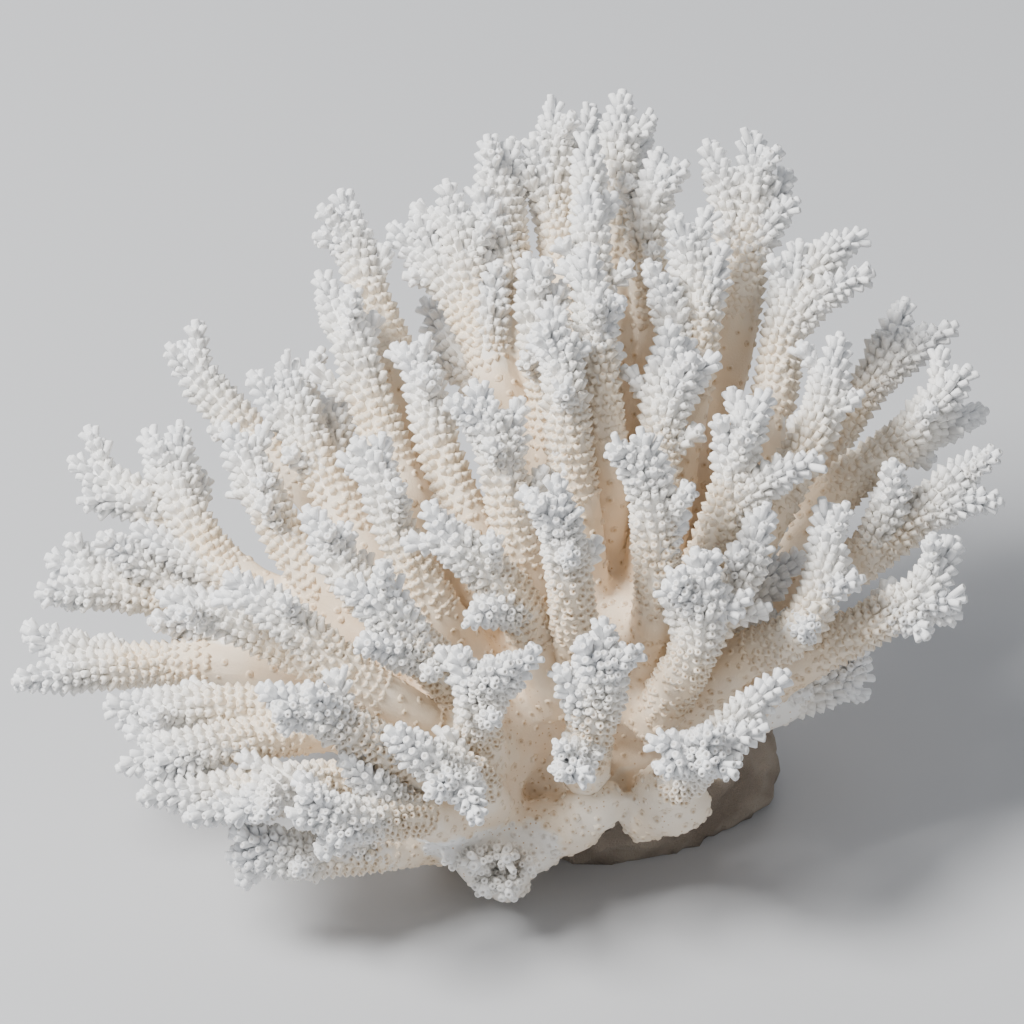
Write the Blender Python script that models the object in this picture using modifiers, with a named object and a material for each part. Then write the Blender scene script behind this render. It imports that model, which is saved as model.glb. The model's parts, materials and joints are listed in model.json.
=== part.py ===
import functools
import math

import bmesh
import bpy
from mathutils import Vector
from mathutils.bvhtree import BVHTree

# Branching stony coral, about 0.2 m wide: a flat-cut holdfast and the limbs that fan out from its crown.
# The limbs are set out in millimetres as across, rise and toward, on a plane through the crown that leans
# back from the upright. Across runs to the right, rise runs up the leaning plane, and toward comes off it.

MM = 0.001
LEAN = math.radians(35.0)
CROWN = (122.0, 58.8)
CROWN_HEIGHT = 27.0
SET_OUT_CENTRE = (102.4, 102.4)
SET_OUT_REACH = 950.0
SHIFT = (0.6, -18.4)

GAP = 0.3
RING_SPACING = 6.5
TWIG_SPACING = 6.0
TIP_RADIUS = 1.5
TIP_TAPER = 0.34
NECK_RADIUS = 4.3
BODY_TAPER = 0.014
KNOB_OUT = 1.5
KNOB_IN = 0.7
KNOB_LEAN = 1.8
CUTTER_MARGIN = 0.9
VOXEL = 1.0
FACETS_PER_MM = 1.18
HOLDFAST_FACETS = 630
SHARP_ANGLE = math.radians(55.0)

HOLDFAST_COLOUR = (0.36, 0.33, 0.29, 1.0)
LIMB_COLOUR = (0.80, 0.79, 0.75, 1.0)
HOLDFAST_ROUGHNESS = 0.85
LIMB_ROUGHNESS = 0.7

# Lumps that make up the holdfast and the fused crown: centre (upright, before the shift) and half sizes.
HOLDFAST_LUMPS = [
    ((18.0, 20.0, 4.0), (34.0, 30.0, 17.0)),
    ((36.0, 18.0, 6.0), (19.0, 20.0, 15.0)),
    ((15.0, 8.0, 24.0), (25.0, 25.0, 18.0)),
    ((33.0, 4.0, 13.0), (13.0, 9.0, 11.0)),
    ((-3.0, -4.0, 8.0), (11.0, 12.0, 15.0)),
    ((14.0, -7.0, 17.0), (13.0, 8.0, 8.0)),
    ((19.0, 5.0, 42.0), (27.0, 20.0, 20.0)),
    ((-12.0, -6.0, 33.0), (21.0, 17.0, 16.0)),
    ((-14.0, -16.0, 25.0), (16.0, 14.0, 13.0)),
    ((38.0, 4.0, 38.0), (17.0, 16.0, 13.0)),
    ((2.0, -19.2, 15.3), (9.0, 7.0, 8.0)),
    ((9.5, -20.4, 18.8), (8.5, 6.0, 6.0)),
    ((15.3, -20.7, 23.6), (6.0, 5.0, 5.0)),
    ((18.7, -20.8, 26.9), (3.4, 3.4, 3.6)),
    ((-5.3, -22.5, 12.4), (6.5, 6.0, 6.5)),
    ((-1.4, -24.0, 8.5), (4.8, 4.2, 4.8)),
]

# Name, what it grows from, root point or share of the parent's length, root radius, points out to the
# tip, and side twigs, each with its share of the length and its tip.
LIMBS = [
    ("back_mid", "holdfast", (121, 64, 0), 7.0,
     [(122, 100, 1), (121, 130, -2), (122, 155, -9), (124.5, 186.5, -14)],
     [(0.80, (129.5, 178.5, -20))]),
    ("back_fan", "back_mid", 0.52, 5.5, [(115, 146, -8), (111.5, 158, -12), (110.4, 185, -17)],
     [(0.45, (106.6, 178, -13)), (0.30, (118.6, 183.5, -22))]),
    ("back_right_spire", "back_mid", 0.36, 5.0,
     [(127.5, 124, -5), (129.5, 145, -6), (129, 158, -6), (132, 175, -8)],
     [(0.80, (137.4, 172.2, -4))]),
    ("back_mid_front", "back_mid", 0.24, 5.0, [(120.5, 118, 11), (118.5, 148, 14), (117.6, 169, 12)],
     [(0.50, (117.4, 178, 0))]),
    ("back_front_stub", "back_mid", 0.16, 5.0, [(121.5, 108, 20), (119, 135, 27), (117.4, 156, 28)],
     [(0.72, (124.6, 145, 31))]),
    ("back_left_tall", "holdfast", (114, 64, 2), 6.5,
     [(111, 100, 2), (107, 130, -2), (101.5, 155, -6), (97.4, 177.5, -9)],
     [(0.80, (102.5, 177, -13)), (0.72, (95.2, 167.5, -2))]),
    ("back_left_inner", "back_left_tall", 0.36, 5.0, [(110, 122, 10), (107.5, 138, 14), (105.4, 154, 14)],
     [(0.45, (112.6, 148.5, 16))]),
    ("upper_left_fork", "back_left_tall", 0.33, 5.5,
     [(102, 122, 2), (96, 139, 0), (93, 152, -1), (89.2, 168.6, -3)],
     [(0.50, (98.6, 162, -5)), (0.42, (100, 152.5, 3))]),
    ("upper_left_hook", "upper_left_fork", 0.42, 5.0, [(91, 146, -1), (85, 153, -3), (77.8, 159.5, -4)],
     [(0.60, (83.4, 161.5, -3))]),
    ("upper_left_low", "holdfast", (112, 62, -6), 6.0,
     [(109, 92, -12), (103, 116, -16), (94, 131, -17), (84.6, 145, -17)], []),
    ("upper_left_long", "holdfast", (108, 62, 6), 6.0,
     [(98, 90, 5), (86, 115, 2), (79, 133, 0), (73, 148, -1), (68.2, 166.6, -4)],
     [(0.86, (63, 157.6, 1))]),
    ("upper_left_stout", "holdfast", (104, 62, 10), 6.5,
     [(92, 82, 14), (80, 109, 15), (74, 125, 15), (70.4, 137, 15), (69.6, 147.4, 14)],
     [(0.84, (63.6, 150.2, 12))]),
    ("upper_left_front", "upper_left_stout", 0.18, 5.5,
     [(96, 93, 21), (90, 109, 22), (86, 121, 21), (84.6, 137.4, 19)],
     [(0.85, (80.6, 135.5, 23))]),
    ("centre_left", "holdfast", (112, 66, 12), 7.0,
     [(106, 87, 24), (102.5, 101, 30), (99.5, 115, 33), (94.6, 128.6, 35)],
     [(0.80, (89.4, 124.6, 39)), (0.72, (104.5, 125, 32))]),
    ("centre_tall", "holdfast", (118, 70, 8), 6.5,
     [(116, 96, 22), (114, 115, 29), (112.6, 130, 33), (109.6, 144, 33)],
     [(0.84, (107.2, 139.6, 38)), (0.82, (117.6, 136, 32))]),
    ("centre_front", "holdfast", (116, 66, 16), 6.0,
     [(114.6, 82, 36), (113.2, 93, 46), (112, 101, 51), (111.2, 109.6, 54)],
     [(0.80, (106.4, 105, 57))]),
    ("centre_right_front", "holdfast", (127, 66, 12), 7.0,
     [(131.6, 84, 30), (131, 97, 39), (130, 109, 44), (128, 119, 46)],
     [(0.82, (121.8, 115.4, 50)), (0.60, (137.6, 102, 41))]),
    ("centre_right_back", "holdfast", (126, 70, 6), 6.5,
     [(130.5, 98, 17), (132, 119, 22), (133.4, 131, 23), (133.8, 140.6, 23)],
     [(0.72, (143.6, 133.4, 21)), (0.62, (138.5, 134.0, 28))]),
    ("right_back_mid", "holdfast", (127, 68, 4), 6.5,
     [(134, 108, 9), (139, 134, 10), (139.6, 148, 9), (134.4, 162.2, 8)],
     [(0.75, (144.6, 156, 9)), (0.60, (129.6, 152.6, 14))]),
    ("right_back_tall", "holdfast", (130, 66, -4), 7.0,
     [(140, 112, -7), (146, 136, -7), (149.4, 155, -7), (151, 178.2, -9)],
     [(0.74, (141.2, 176.6, -8)), (0.80, (158, 170.5, -12)), (0.76, (159.6, 164.8, -5))]),
    ("right_back_low", "holdfast", (132, 66, 2), 6.5,
     [(145, 94, 4), (154, 122, 4), (157, 140, 1), (160, 156.6, -3)],
     [(0.84, (173, 158.2, -7)), (0.78, (174.6, 150.2, 4))]),
    ("right_fan_upper", "holdfast", (134, 64, -6), 6.5,
     [(150, 92, -12), (168, 120, -14), (176, 131, -13), (181.2, 145, -12)],
     [(0.80, (191.2, 140, -10))]),
    ("right_fan_mid", "holdfast", (136, 62, 2), 6.5,
     [(155, 92, 2), (170, 109, 2), (182, 118, 2), (193.8, 131.4, 0)],
     [(0.70, (197.2, 122.6, -6))]),
    ("right_front_long", "holdfast", (133, 66, 8), 6.5,
     [(148, 92, 17), (157, 108, 18), (164, 121, 16), (168, 138, 13)], []),
    ("right_front_mid", "holdfast", (130, 66, 12), 6.0,
     [(139.5, 88, 24), (146, 106, 27), (149, 118, 27), (153.8, 126.6, 25)],
     [(0.74, (143.4, 121.4, 31)), (0.55, (164.4, 113, 31))]),
    ("right_fan_low", "holdfast", (138, 60, 2), 7.5,
     [(158, 83, 2), (172, 93, 4), (184, 102, 6), (198, 114.8, 7)],
     [(0.80, (200.2, 104.4, 10)), (0.62, (178.6, 112.6, 15))]),
    ("right_low_long", "holdfast", (138, 58, 8), 7.0,
     [(157, 71, 13), (174, 80, 19), (184, 86, 22), (191.6, 97, 21)],
     [(0.72, (193, 85, 25)), (0.68, (185.4, 77.4, 26))]),
    ("right_front_short", "holdfast", (134, 62, 14), 6.0,
     [(148, 73, 23), (160, 79, 28), (165.4, 92, 26), (164.4, 105, 24)],
     [(0.55, (160.4, 78.6, 37)), (0.66, (172.4, 89, 30))]),
    ("right_inner", "holdfast", (132, 66, 12), 6.0, [(144, 79, 16), (152, 87, 15), (160.6, 94, 12)], []),
    ("right_front_stout", "holdfast", (130, 60, 18), 7.5, [(138, 73, 34), (141, 84, 41), (139, 95, 44)],
     [(0.75, (133, 87.4, 48)), (0.70, (148.6, 82, 41)), (0.85, (143.4, 94.4, 40))]),
    ("right_front_spur", "right_front_stout", 0.36, 5.0,
     [(147, 87, 33), (151, 96, 34), (153.4, 104, 34)], []),
    ("right_skirt", "holdfast", (132, 60, 2), 7.5, [(152, 64, 0), (164, 67, -2), (174, 71.5, -3)],
     [(0.80, (172, 76.5, 3))]),
    ("front_right_head", "holdfast", (132, 46, 14), 8.5, [(137, 50, 30), (141, 56, 42), (141.6, 58, 48)],
     [(0.65, (130.4, 56.8, 46)), (0.70, (131.6, 50.6, 47)), (0.55, (157.6, 70.4, 36)),
      (0.60, (153.4, 59.4, 42)), (0.70, (147, 50, 47))]),
    ("front_mid", "holdfast", (117, 50, 16), 6.5, [(118, 59, 36), (121, 67, 45), (120.6, 81, 51)],
     [(0.72, (126.4, 75, 52)), (0.66, (116, 77, 53)), (0.50, (111.2, 71.4, 48))]),
    ("front_mid_star", "front_mid", 0.36, 5.0, [(115, 52.5, 40), (112, 49.8, 48)],
     [(0.55, (118.5, 49, 46))]),
    ("front_fork", "holdfast", (97, 50, 14), 6.0, [(95.5, 60, 34), (95, 67, 41), (91, 75, 47)],
     [(0.60, (107.6, 75, 50)), (0.66, (102, 72, 52))]),
    ("front_tee", "holdfast", (98, 44, 12), 6.5, [(94, 49, 34), (86, 53, 44), (77.6, 59, 50)],
     [(0.50, (96, 40.4, 50)), (0.62, (86, 46, 51))]),
    ("front_left_blue", "holdfast", (112, 64, 16), 7.0,
     [(104, 83, 33), (97, 91, 40), (90, 97, 44), (85, 104, 46)],
     [(0.50, (93.6, 80.6, 47))]),
    ("left_front_blue", "holdfast", (100, 58, 14), 7.0,
     [(87, 72, 34), (80, 79, 40), (74, 85, 44), (67.6, 88.4, 46)],
     [(0.55, (71.4, 76, 48)), (0.62, (78, 88.5, 45))]),
    ("left_inner", "holdfast", (100, 62, 10), 6.0,
     [(84, 76, 24), (71, 88, 30), (66, 95, 31), (61.2, 103.4, 31)],
     [(0.80, (70, 100, 33))]),
    ("left_finger", "holdfast", (102, 64, 10), 5.5,
     [(87, 84, 26), (79, 99, 31), (75, 110, 33), (70.8, 117, 34)],
     [(0.84, (76.5, 118, 32))]),
    ("left_stout", "holdfast", (100, 62, 6), 7.5,
     [(77, 88, 11), (68, 104, 11), (61, 117, 9), (57, 133.4, 6)],
     [(0.76, (50, 130.2, 10)), (0.80, (61, 131, 0)), (0.60, (67.6, 126.8, -8))]),
    ("left_long", "holdfast", (98, 62, -3), 6.0,
     [(70, 98, -8), (58, 111, -9), (47, 121, -8), (33.6, 135.8, -7)],
     [(0.92, (37.0, 136.2, -9))]),
    ("left_mid", "holdfast", (98, 58, 8), 6.5, [(76, 76, 12), (60, 93, 13), (51, 109, 12), (45, 120, 10)],
     [(0.78, (52.6, 109.6, 18))]),
    ("left_upper_fan", "left_mid", 0.38, 6.0, [(49, 88, 8), (38, 101, 7), (35.6, 110, 5), (36, 120.4, 3)],
     [(0.70, (29, 118.6, 1))]),
    ("left_far_fan", "left_upper_fan", 0.42, 5.5, [(30, 103.5, 1), (22, 108, 0), (14, 113, -1)],
     [(0.50, (15.8, 104.6, 5))]),
    ("left_low", "holdfast", (98, 54, 6), 7.0, [(70, 65, 4), (46, 72, 5), (22, 72, 7), (4.6, 79, 8)],
     [(0.66, (2.8, 68.4, 17))]),
    ("left_low_upper", "left_low", 0.40, 6.0, [(42, 83, 0), (26, 87, 0), (9.4, 93.4, 1)],
     [(0.55, (7.4, 85.8, 8)), (0.45, (20, 97.8, 9))]),
    ("left_blue", "holdfast", (98, 56, 12), 6.0,
     [(66, 71, 23), (50, 79, 26), (40, 83, 28), (31.6, 86, 28)], []),
    ("left_front_spur", "holdfast", (100, 52, 14), 6.5,
     [(82, 62, 30), (69, 71, 37), (58, 80.5, 41), (45.2, 90, 43)], []),
    ("left_front_low", "holdfast", (98, 50, 8), 7.0,
     [(76, 57, 17), (52, 63, 22), (36, 63, 25), (21, 63.6, 26)], []),
    ("left_front_star", "holdfast", (98, 46, 14), 6.5, [(81, 53, 36), (66, 61, 48), (51.6, 67, 54)],
     [(0.66, (62, 67.4, 56)), (0.75, (56, 59, 55))]),
    ("low_left_upper", "left_front_low", 0.40, 5.5, [(44, 56, 30), (34, 54.5, 33), (23.6, 51, 34)],
     [(0.55, (29.6, 49.4, 37))]),
    ("low_left_mid", "holdfast", (98, 44, 6), 6.5,
     [(76, 47, 21), (58, 48, 33), (51, 44, 38), (45.6, 40.8, 40)],
     [(0.42, (27.8, 45.4, 38)), (0.50, (37, 41, 39))]),
    ("low_left_star", "holdfast", (98, 40, 8), 6.5, [(85, 42, 29), (73, 41, 43), (58, 42, 53)],
     [(0.78, (60, 47, 54)), (0.45, (68.4, 54, 46)), (0.70, (66, 37, 51))]),
    ("low_left_skirt", "holdfast", (102, 38, 0), 7.0,
     [(86, 37.5, 11), (74, 35, 20), (60, 33.5, 27), (45.4, 33.6, 31)],
     [(0.66, (46.4, 39, 35)), (0.50, (64, 40.5, 33))]),
    ("rear_left", "holdfast", (108, 66, -12), 6.5, [(96, 84, -26), (84, 104, -34), (74, 116, -38)],
     [(0.70, (84, 120, -36))]),
    ("rear_mid", "holdfast", (122, 68, -14), 7.0, [(124, 94, -28), (123, 118, -36), (120, 134, -38)],
     [(0.66, (131, 130, -36)), (0.60, (112, 126, -36))]),
    ("rear_right", "holdfast", (136, 64, -12), 6.5, [(148, 78, -28), (158, 96, -36), (166, 108, -40)],
     [(0.66, (154, 108, -40))]),
]


def clear_scene():
    for obj in list(bpy.data.objects):
        bpy.data.objects.remove(obj, do_unlink=True)


def make_material(name, colour, roughness):
    material = bpy.data.materials.new(name)
    material.use_nodes = True
    shader = material.node_tree.nodes["Principled BSDF"]
    shader.inputs["Base Color"].default_value = colour
    shader.inputs["Roughness"].default_value = roughness
    shader.inputs["Metallic"].default_value = 0.0
    return material


def place(point):
    """Upright position in metres of a point set out as across, rise and toward."""
    across, rise, toward = point
    spread = 1.0 - toward / SET_OUT_REACH
    x = (across - SET_OUT_CENTRE[0]) * spread
    up_plane = (rise - SET_OUT_CENTRE[1]) * spread + SET_OUT_CENTRE[1] - CROWN[1]
    y = up_plane * math.sin(LEAN) - toward * math.cos(LEAN)
    z = up_plane * math.cos(LEAN) + toward * math.sin(LEAN) + CROWN_HEIGHT
    return Vector((x + SHIFT[0], y + SHIFT[1], z)) * MM


def smooth_path(points, spacing):
    """Evenly spaced points, root to tip, on a smooth curve through the given ones."""
    ends = [points[0] * 2 - points[1]] + points + [points[-1] * 2 - points[-2]]
    fine = []
    for before, start, end, after in zip(ends, ends[1:], ends[2:], ends[3:]):
        for step in range(12):
            t = step / 12.0
            fine.append(
                0.5 * (2 * start + (end - before) * t + (2 * before - 5 * start + 4 * end - after) * t * t
                       + (3 * start - before - 3 * end + after) * t * t * t)
            )
    fine.append(points[-1].copy())
    lengths = [0.0]
    for start, end in zip(fine, fine[1:]):
        lengths.append(lengths[-1] + (end - start).length)
    count = max(2, round(lengths[-1] / spacing))
    path = []
    index = 0
    for step in range(count + 1):
        wanted = lengths[-1] * step / count
        while index < len(fine) - 2 and lengths[index + 1] < wanted:
            index += 1
        span = max(lengths[index + 1] - lengths[index], 1e-9)
        path.append(fine[index].lerp(fine[index + 1], (wanted - lengths[index]) / span))
    return path


def stem_radius(back, root_radius):
    """Radius in millimetres at a distance back from the tip."""
    slim = min(TIP_RADIUS + TIP_TAPER * back, NECK_RADIUS + BODY_TAPER * back)
    return min(slim, root_radius) * (root_radius / 6.0) ** 0.3


def add_object(name, mesh):
    obj = bpy.data.objects.new(name, mesh)
    bpy.context.scene.collection.objects.link(obj)
    return obj


def remove_object(obj):
    mesh = obj.data
    bpy.data.objects.remove(obj, do_unlink=True)
    bpy.data.meshes.remove(mesh)


def weld(data):
    """Joins the end caps to the sides and turns the faces outward."""
    mesh = bmesh.new()
    mesh.from_mesh(data)
    bmesh.ops.remove_doubles(mesh, verts=mesh.verts, dist=0.01 * MM)
    bmesh.ops.recalc_face_normals(mesh, faces=mesh.faces)
    mesh.to_mesh(data)
    mesh.free()


def tube(name, path, radii, grow):
    """Closed six-sided tube along a path, with staggered knobs leaning to the tip; a grown one is plain."""
    curve = bpy.data.curves.new(name, "CURVE")
    curve.dimensions = "3D"
    curve.bevel_depth = MM
    curve.bevel_resolution = 1
    curve.use_fill_caps = True
    spline = curve.splines.new("POLY")
    spline.points.add(len(path) - 1)
    for number, (point, radius) in enumerate(zip(path, radii)):
        spline.points[number].co = (*point, 1.0)
        spline.points[number].radius = radius + grow
    holder = bpy.data.objects.new(name, curve)
    bpy.context.scene.collection.objects.link(holder)
    graph = bpy.context.evaluated_depsgraph_get()
    mesh = bpy.data.meshes.new_from_object(holder.evaluated_get(graph))
    bpy.data.objects.remove(holder, do_unlink=True)
    bpy.data.curves.remove(curve)
    sides = len(mesh.vertices) // (len(path) + 2)
    knobbed = [] if grow else mesh.vertices
    for number, vertex in enumerate(knobbed):
        ring, side = divmod(number - 2 * sides, sides)  # the two end caps come first
        if ring <= 0 or ring == len(path) - 1:
            continue
        centre = path[ring]
        outward = (vertex.co - centre).normalized()
        along = (path[ring + 1] - path[ring - 1]).normalized()
        share = min(1.0, radii[ring] / NECK_RADIUS)
        if (ring + side) % 2 == 0:
            vertex.co += (outward * KNOB_OUT + along * KNOB_LEAN) * share * MM
        else:
            vertex.co -= outward * KNOB_IN * share * MM
    weld(mesh)
    return add_object(name, mesh)


def apply_modifiers(obj):
    graph = bpy.context.evaluated_depsgraph_get()
    mesh = bpy.data.meshes.new_from_object(obj.evaluated_get(graph))
    obj.modifiers.clear()
    old = obj.data
    obj.data = mesh
    bpy.data.meshes.remove(old)


def boolean(obj, other, operation):
    """Replaces the mesh of obj by its exact union with, or difference from, the other object."""
    modifier = obj.modifiers.new("Boolean", "BOOLEAN")
    modifier.operation = operation
    modifier.solver = "EXACT"
    modifier.object = other
    apply_modifiers(obj)


def body_volume(faces):
    volume = 0.0
    for face in faces:
        first, second, third = (loop.vert.co for loop in face.loops)
        volume += first.dot(second.cross(third)) / 6.0
    return volume


def keep_largest(obj):
    """Cleans the mesh, drops all but its largest body, and returns its volume, or 0 if it is open."""
    mesh = bmesh.new()
    mesh.from_mesh(obj.data)
    bmesh.ops.remove_doubles(mesh, verts=mesh.verts, dist=0.004 * MM)
    bmesh.ops.dissolve_degenerate(mesh, edges=mesh.edges, dist=0.004 * MM)
    bmesh.ops.triangulate(mesh, faces=mesh.faces)
    unseen = dict.fromkeys(mesh.faces)
    bodies = []
    while unseen:
        stack = [unseen.popitem()[0]]
        body = []
        while stack:
            face = stack.pop()
            body.append(face)
            for edge in face.edges:
                for neighbour in edge.link_faces:
                    if neighbour in unseen:
                        del unseen[neighbour]
                        stack.append(neighbour)
        bodies.append((body_volume(body), body))
    bodies.sort(key=lambda entry: entry[0], reverse=True)
    for volume, body in bodies[1:]:
        bmesh.ops.delete(mesh, geom=body, context="FACES")
    loose = [vertex for vertex in mesh.verts if not vertex.link_faces]
    bmesh.ops.delete(mesh, geom=loose, context="VERTS")
    whole = bool(bodies) and all(len(edge.link_faces) == 2 for edge in mesh.edges)
    mesh.to_mesh(obj.data)
    mesh.free()
    return bodies[0][0] if whole else 0.0


def carve(solid, make_cutter):
    """Cuts the solid back from what make_cutter(gap) gives, with a wider gap where a cut leaves it open."""
    before = solid.data.copy()
    volume = keep_largest(solid)
    for number in range(12):
        cutter = make_cutter(GAP * (1.0 + 0.12 * number))
        cutter.location = Vector((0.017, -0.011, 0.013)) * number * MM
        boolean(solid, cutter, "DIFFERENCE")
        remove_object(cutter)
        if keep_largest(solid) > 0.3 * volume:
            break
        solid.data = before.copy()
    bpy.data.meshes.remove(before)


def touches(obj, other):
    """True where the surfaces of the two objects cross."""
    trees = []
    for each in (obj, other):
        mesh = bmesh.new()
        mesh.from_mesh(each.data)
        trees.append(BVHTree.FromBMesh(mesh))
        mesh.free()
    return bool(trees[0].overlap(trees[1]))


def tangled(obj):
    """True where faces of the object that share no corner cross."""
    mesh = bmesh.new()
    mesh.from_mesh(obj.data)
    mesh.faces.ensure_lookup_table()
    tree = BVHTree.FromBMesh(mesh)
    corners = [set(vertex.index for vertex in face.verts) for face in mesh.faces]
    mesh.free()
    pairs = tree.overlap(tree)
    return any(not corners[first] & corners[second] for first, second in pairs if first < second)


def skin(obj, voxel):
    """Turns the shape into an even fine skin."""
    remesh = obj.modifiers.new("Remesh", "REMESH")
    remesh.mode = "VOXEL"
    remesh.voxel_size = voxel * MM
    apply_modifiers(obj)


def facet(obj, facets):
    """Takes the shape down to about the given number of triangles, with no face through another."""
    fine = obj.data.copy()
    for share in (1.0, 1.05, 1.11, 1.18, 1.26, 1.35):
        triangles = sum(len(polygon.vertices) - 2 for polygon in obj.data.polygons)
        decimate = obj.modifiers.new("Decimate", "DECIMATE")
        decimate.use_collapse_triangulate = True
        decimate.ratio = min(1.0, facets * share / triangles)
        apply_modifiers(obj)
        if not tangled(obj):
            break
        obj.data = fine.copy()
    bpy.data.meshes.remove(fine)


def shell(obj, distance):
    """Copy of a solid whose faces stand off from it by the given distance."""
    mesh = bmesh.new()
    mesh.from_mesh(obj.data)
    mesh.normal_update()
    moves = [vertex.normal * min(vertex.calc_shell_factor(), 2.5) * distance * MM for vertex in mesh.verts]
    for vertex, move in zip(mesh.verts, moves):
        vertex.co += move
    data = bpy.data.meshes.new("shell")
    mesh.to_mesh(data)
    mesh.free()
    return add_object("shell", data)


def lump(name, centre, half_sizes):
    mesh = bmesh.new()
    bmesh.ops.create_uvsphere(mesh, u_segments=14, v_segments=9, radius=1.0)
    for vertex in mesh.verts:
        vertex.co.x = (centre[0] + SHIFT[0] + vertex.co.x * half_sizes[0]) * MM
        vertex.co.y = (centre[1] + SHIFT[1] + vertex.co.y * half_sizes[1]) * MM
        vertex.co.z = (centre[2] + vertex.co.z * half_sizes[2]) * MM
    data = bpy.data.meshes.new(name)
    mesh.to_mesh(data)
    mesh.free()
    return add_object(name, data)


def floor_block():
    """Block that fills everything under the resting level, to cut a flat foot."""
    mesh = bmesh.new()
    bmesh.ops.create_cube(mesh, size=1.0)
    for vertex in mesh.verts:
        vertex.co.x *= 0.4
        vertex.co.y *= 0.4
        vertex.co.z = 0.0 if vertex.co.z > 0 else -0.1
    data = bpy.data.meshes.new("floor_block")
    mesh.to_mesh(data)
    mesh.free()
    return add_object("floor_block", data)


def make_holdfast():
    whole = lump("holdfast", *HOLDFAST_LUMPS[0])
    for centre, half_sizes in HOLDFAST_LUMPS[1:]:
        other = lump("lump", centre, half_sizes)
        boolean(whole, other, "UNION")
        remove_object(other)
    skin(whole, 2.0)
    facet(whole, HOLDFAST_FACETS)
    block = floor_block()
    boolean(whole, block, "DIFFERENCE")
    remove_object(block)
    keep_largest(whole)
    return whole


def stem_radii(path, root_radius):
    length = sum((end - start).length for start, end in zip(path, path[1:])) / MM
    count = len(path) - 1
    return [stem_radius(length * (count - number) / count, root_radius) for number in range(count + 1)]


def twig_paths(limb, path, radii):
    """Paths and radii of a limb's side twigs, which leave the stem at a slant."""
    found = []
    for share, tip in limb[5]:
        number = round(share * (len(path) - 1))
        start = path[number]
        end = place(tip)
        along = (path[number] - path[number - 1]).normalized()
        bend = start.lerp(end, 0.45) + along * (end - start).length * 0.12
        twig_path = smooth_path([start, bend, end], TWIG_SPACING * MM)
        limit = radii[number] * 0.86
        found.append((twig_path, [min(radius, limit) for radius in stem_radii(twig_path, 5.0)]))
    return found


def make_limb(limb, stems):
    """One solid of a limb's stem and its twigs."""
    path = stems[limb[0]]
    radii = stem_radii(path, limb[3])
    whole = tube(limb[0], path, radii, 0.0)
    reach = (len(path) - 1) * RING_SPACING
    for twig_path, twig_radii in twig_paths(limb, path, radii):
        twig = tube("twig", twig_path, twig_radii, 0.0)
        boolean(whole, twig, "UNION")
        remove_object(twig)
        reach += (len(twig_path) - 1) * TWIG_SPACING
    skin(whole, VOXEL)
    facet(whole, reach * FACETS_PER_MM)
    keep_largest(whole)
    return whole


def ease(solid, others):
    """Takes the many small faces out of the cuts, where the solid stays clear of its neighbours."""
    kept = solid.data.copy()
    for share in (0.62, 0.72, 0.82, 0.9):
        decimate = solid.modifiers.new("Decimate", "DECIMATE")
        decimate.use_collapse_triangulate = True
        decimate.ratio = share
        apply_modifiers(solid)
        whole = keep_largest(solid) > 0.0
        if whole and not tangled(solid) and not any(touches(solid, other) for other in others):
            bpy.data.meshes.remove(kept)
            return
        solid.data = kept.copy()
    bpy.data.meshes.remove(kept)


def plain_tubes(limb, stems):
    """Makers of plain tubes round a limb's stem and twigs, which stand off from its body by a gap."""
    path = stems[limb[0]]
    radii = stem_radii(path, limb[3])
    runs = [(path, radii)] + twig_paths(limb, path, radii)
    return [functools.partial(plain_tube, run_path, run_radii) for run_path, run_radii in runs]


def plain_tube(path, radii, gap):
    return tube("cutter", path, radii, CUTTER_MARGIN + gap)


def main():
    clear_scene()
    stems = {}
    for name, parent, root, root_radius, points, twigs in LIMBS:
        if isinstance(root, float):
            start = stems[parent][round(root * (len(stems[parent]) - 1))]
        else:
            start = place(root)
        stems[name] = smooth_path([start] + [place(point) for point in points], RING_SPACING * MM)

    skeleton = make_material("limb_skeleton", LIMB_COLOUR, LIMB_ROUGHNESS)
    stone = make_material("holdfast_skeleton", HOLDFAST_COLOUR, HOLDFAST_ROUGHNESS)
    holdfast = make_holdfast()
    holdfast.data.materials.clear()
    holdfast.data.materials.append(stone)
    finished = [holdfast]
    makers = []

    for limb in LIMBS:
        solid = make_limb(limb, stems)
        carve(solid, functools.partial(shell, holdfast))
        for maker, example in makers:
            if touches(solid, example):
                carve(solid, maker)
        for other in finished:
            if touches(solid, other):  # a knob that stands out past the plain cutter
                carve(solid, functools.partial(shell, other))
        ease(solid, finished)
        solid.data.materials.clear()
        solid.data.materials.append(skeleton)
        finished.append(solid)
        makers += [(maker, maker(GAP)) for maker in plain_tubes(limb, stems)]

    for maker, example in makers:
        remove_object(example)
    collection = bpy.data.collections.new("branching_coral")
    bpy.context.scene.collection.children.link(collection)
    for obj in finished:
        bpy.context.scene.collection.objects.unlink(obj)
        collection.objects.link(obj)
        for polygon in obj.data.polygons:
            polygon.use_smooth = True
        obj.data.set_sharp_from_angle(angle=SHARP_ANGLE)
    return finished


main()
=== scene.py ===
import json
import math
import random

import bmesh
import bpy
import numpy as np
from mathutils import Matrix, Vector, noise
from mathutils.kdtree import KDTree

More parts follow.
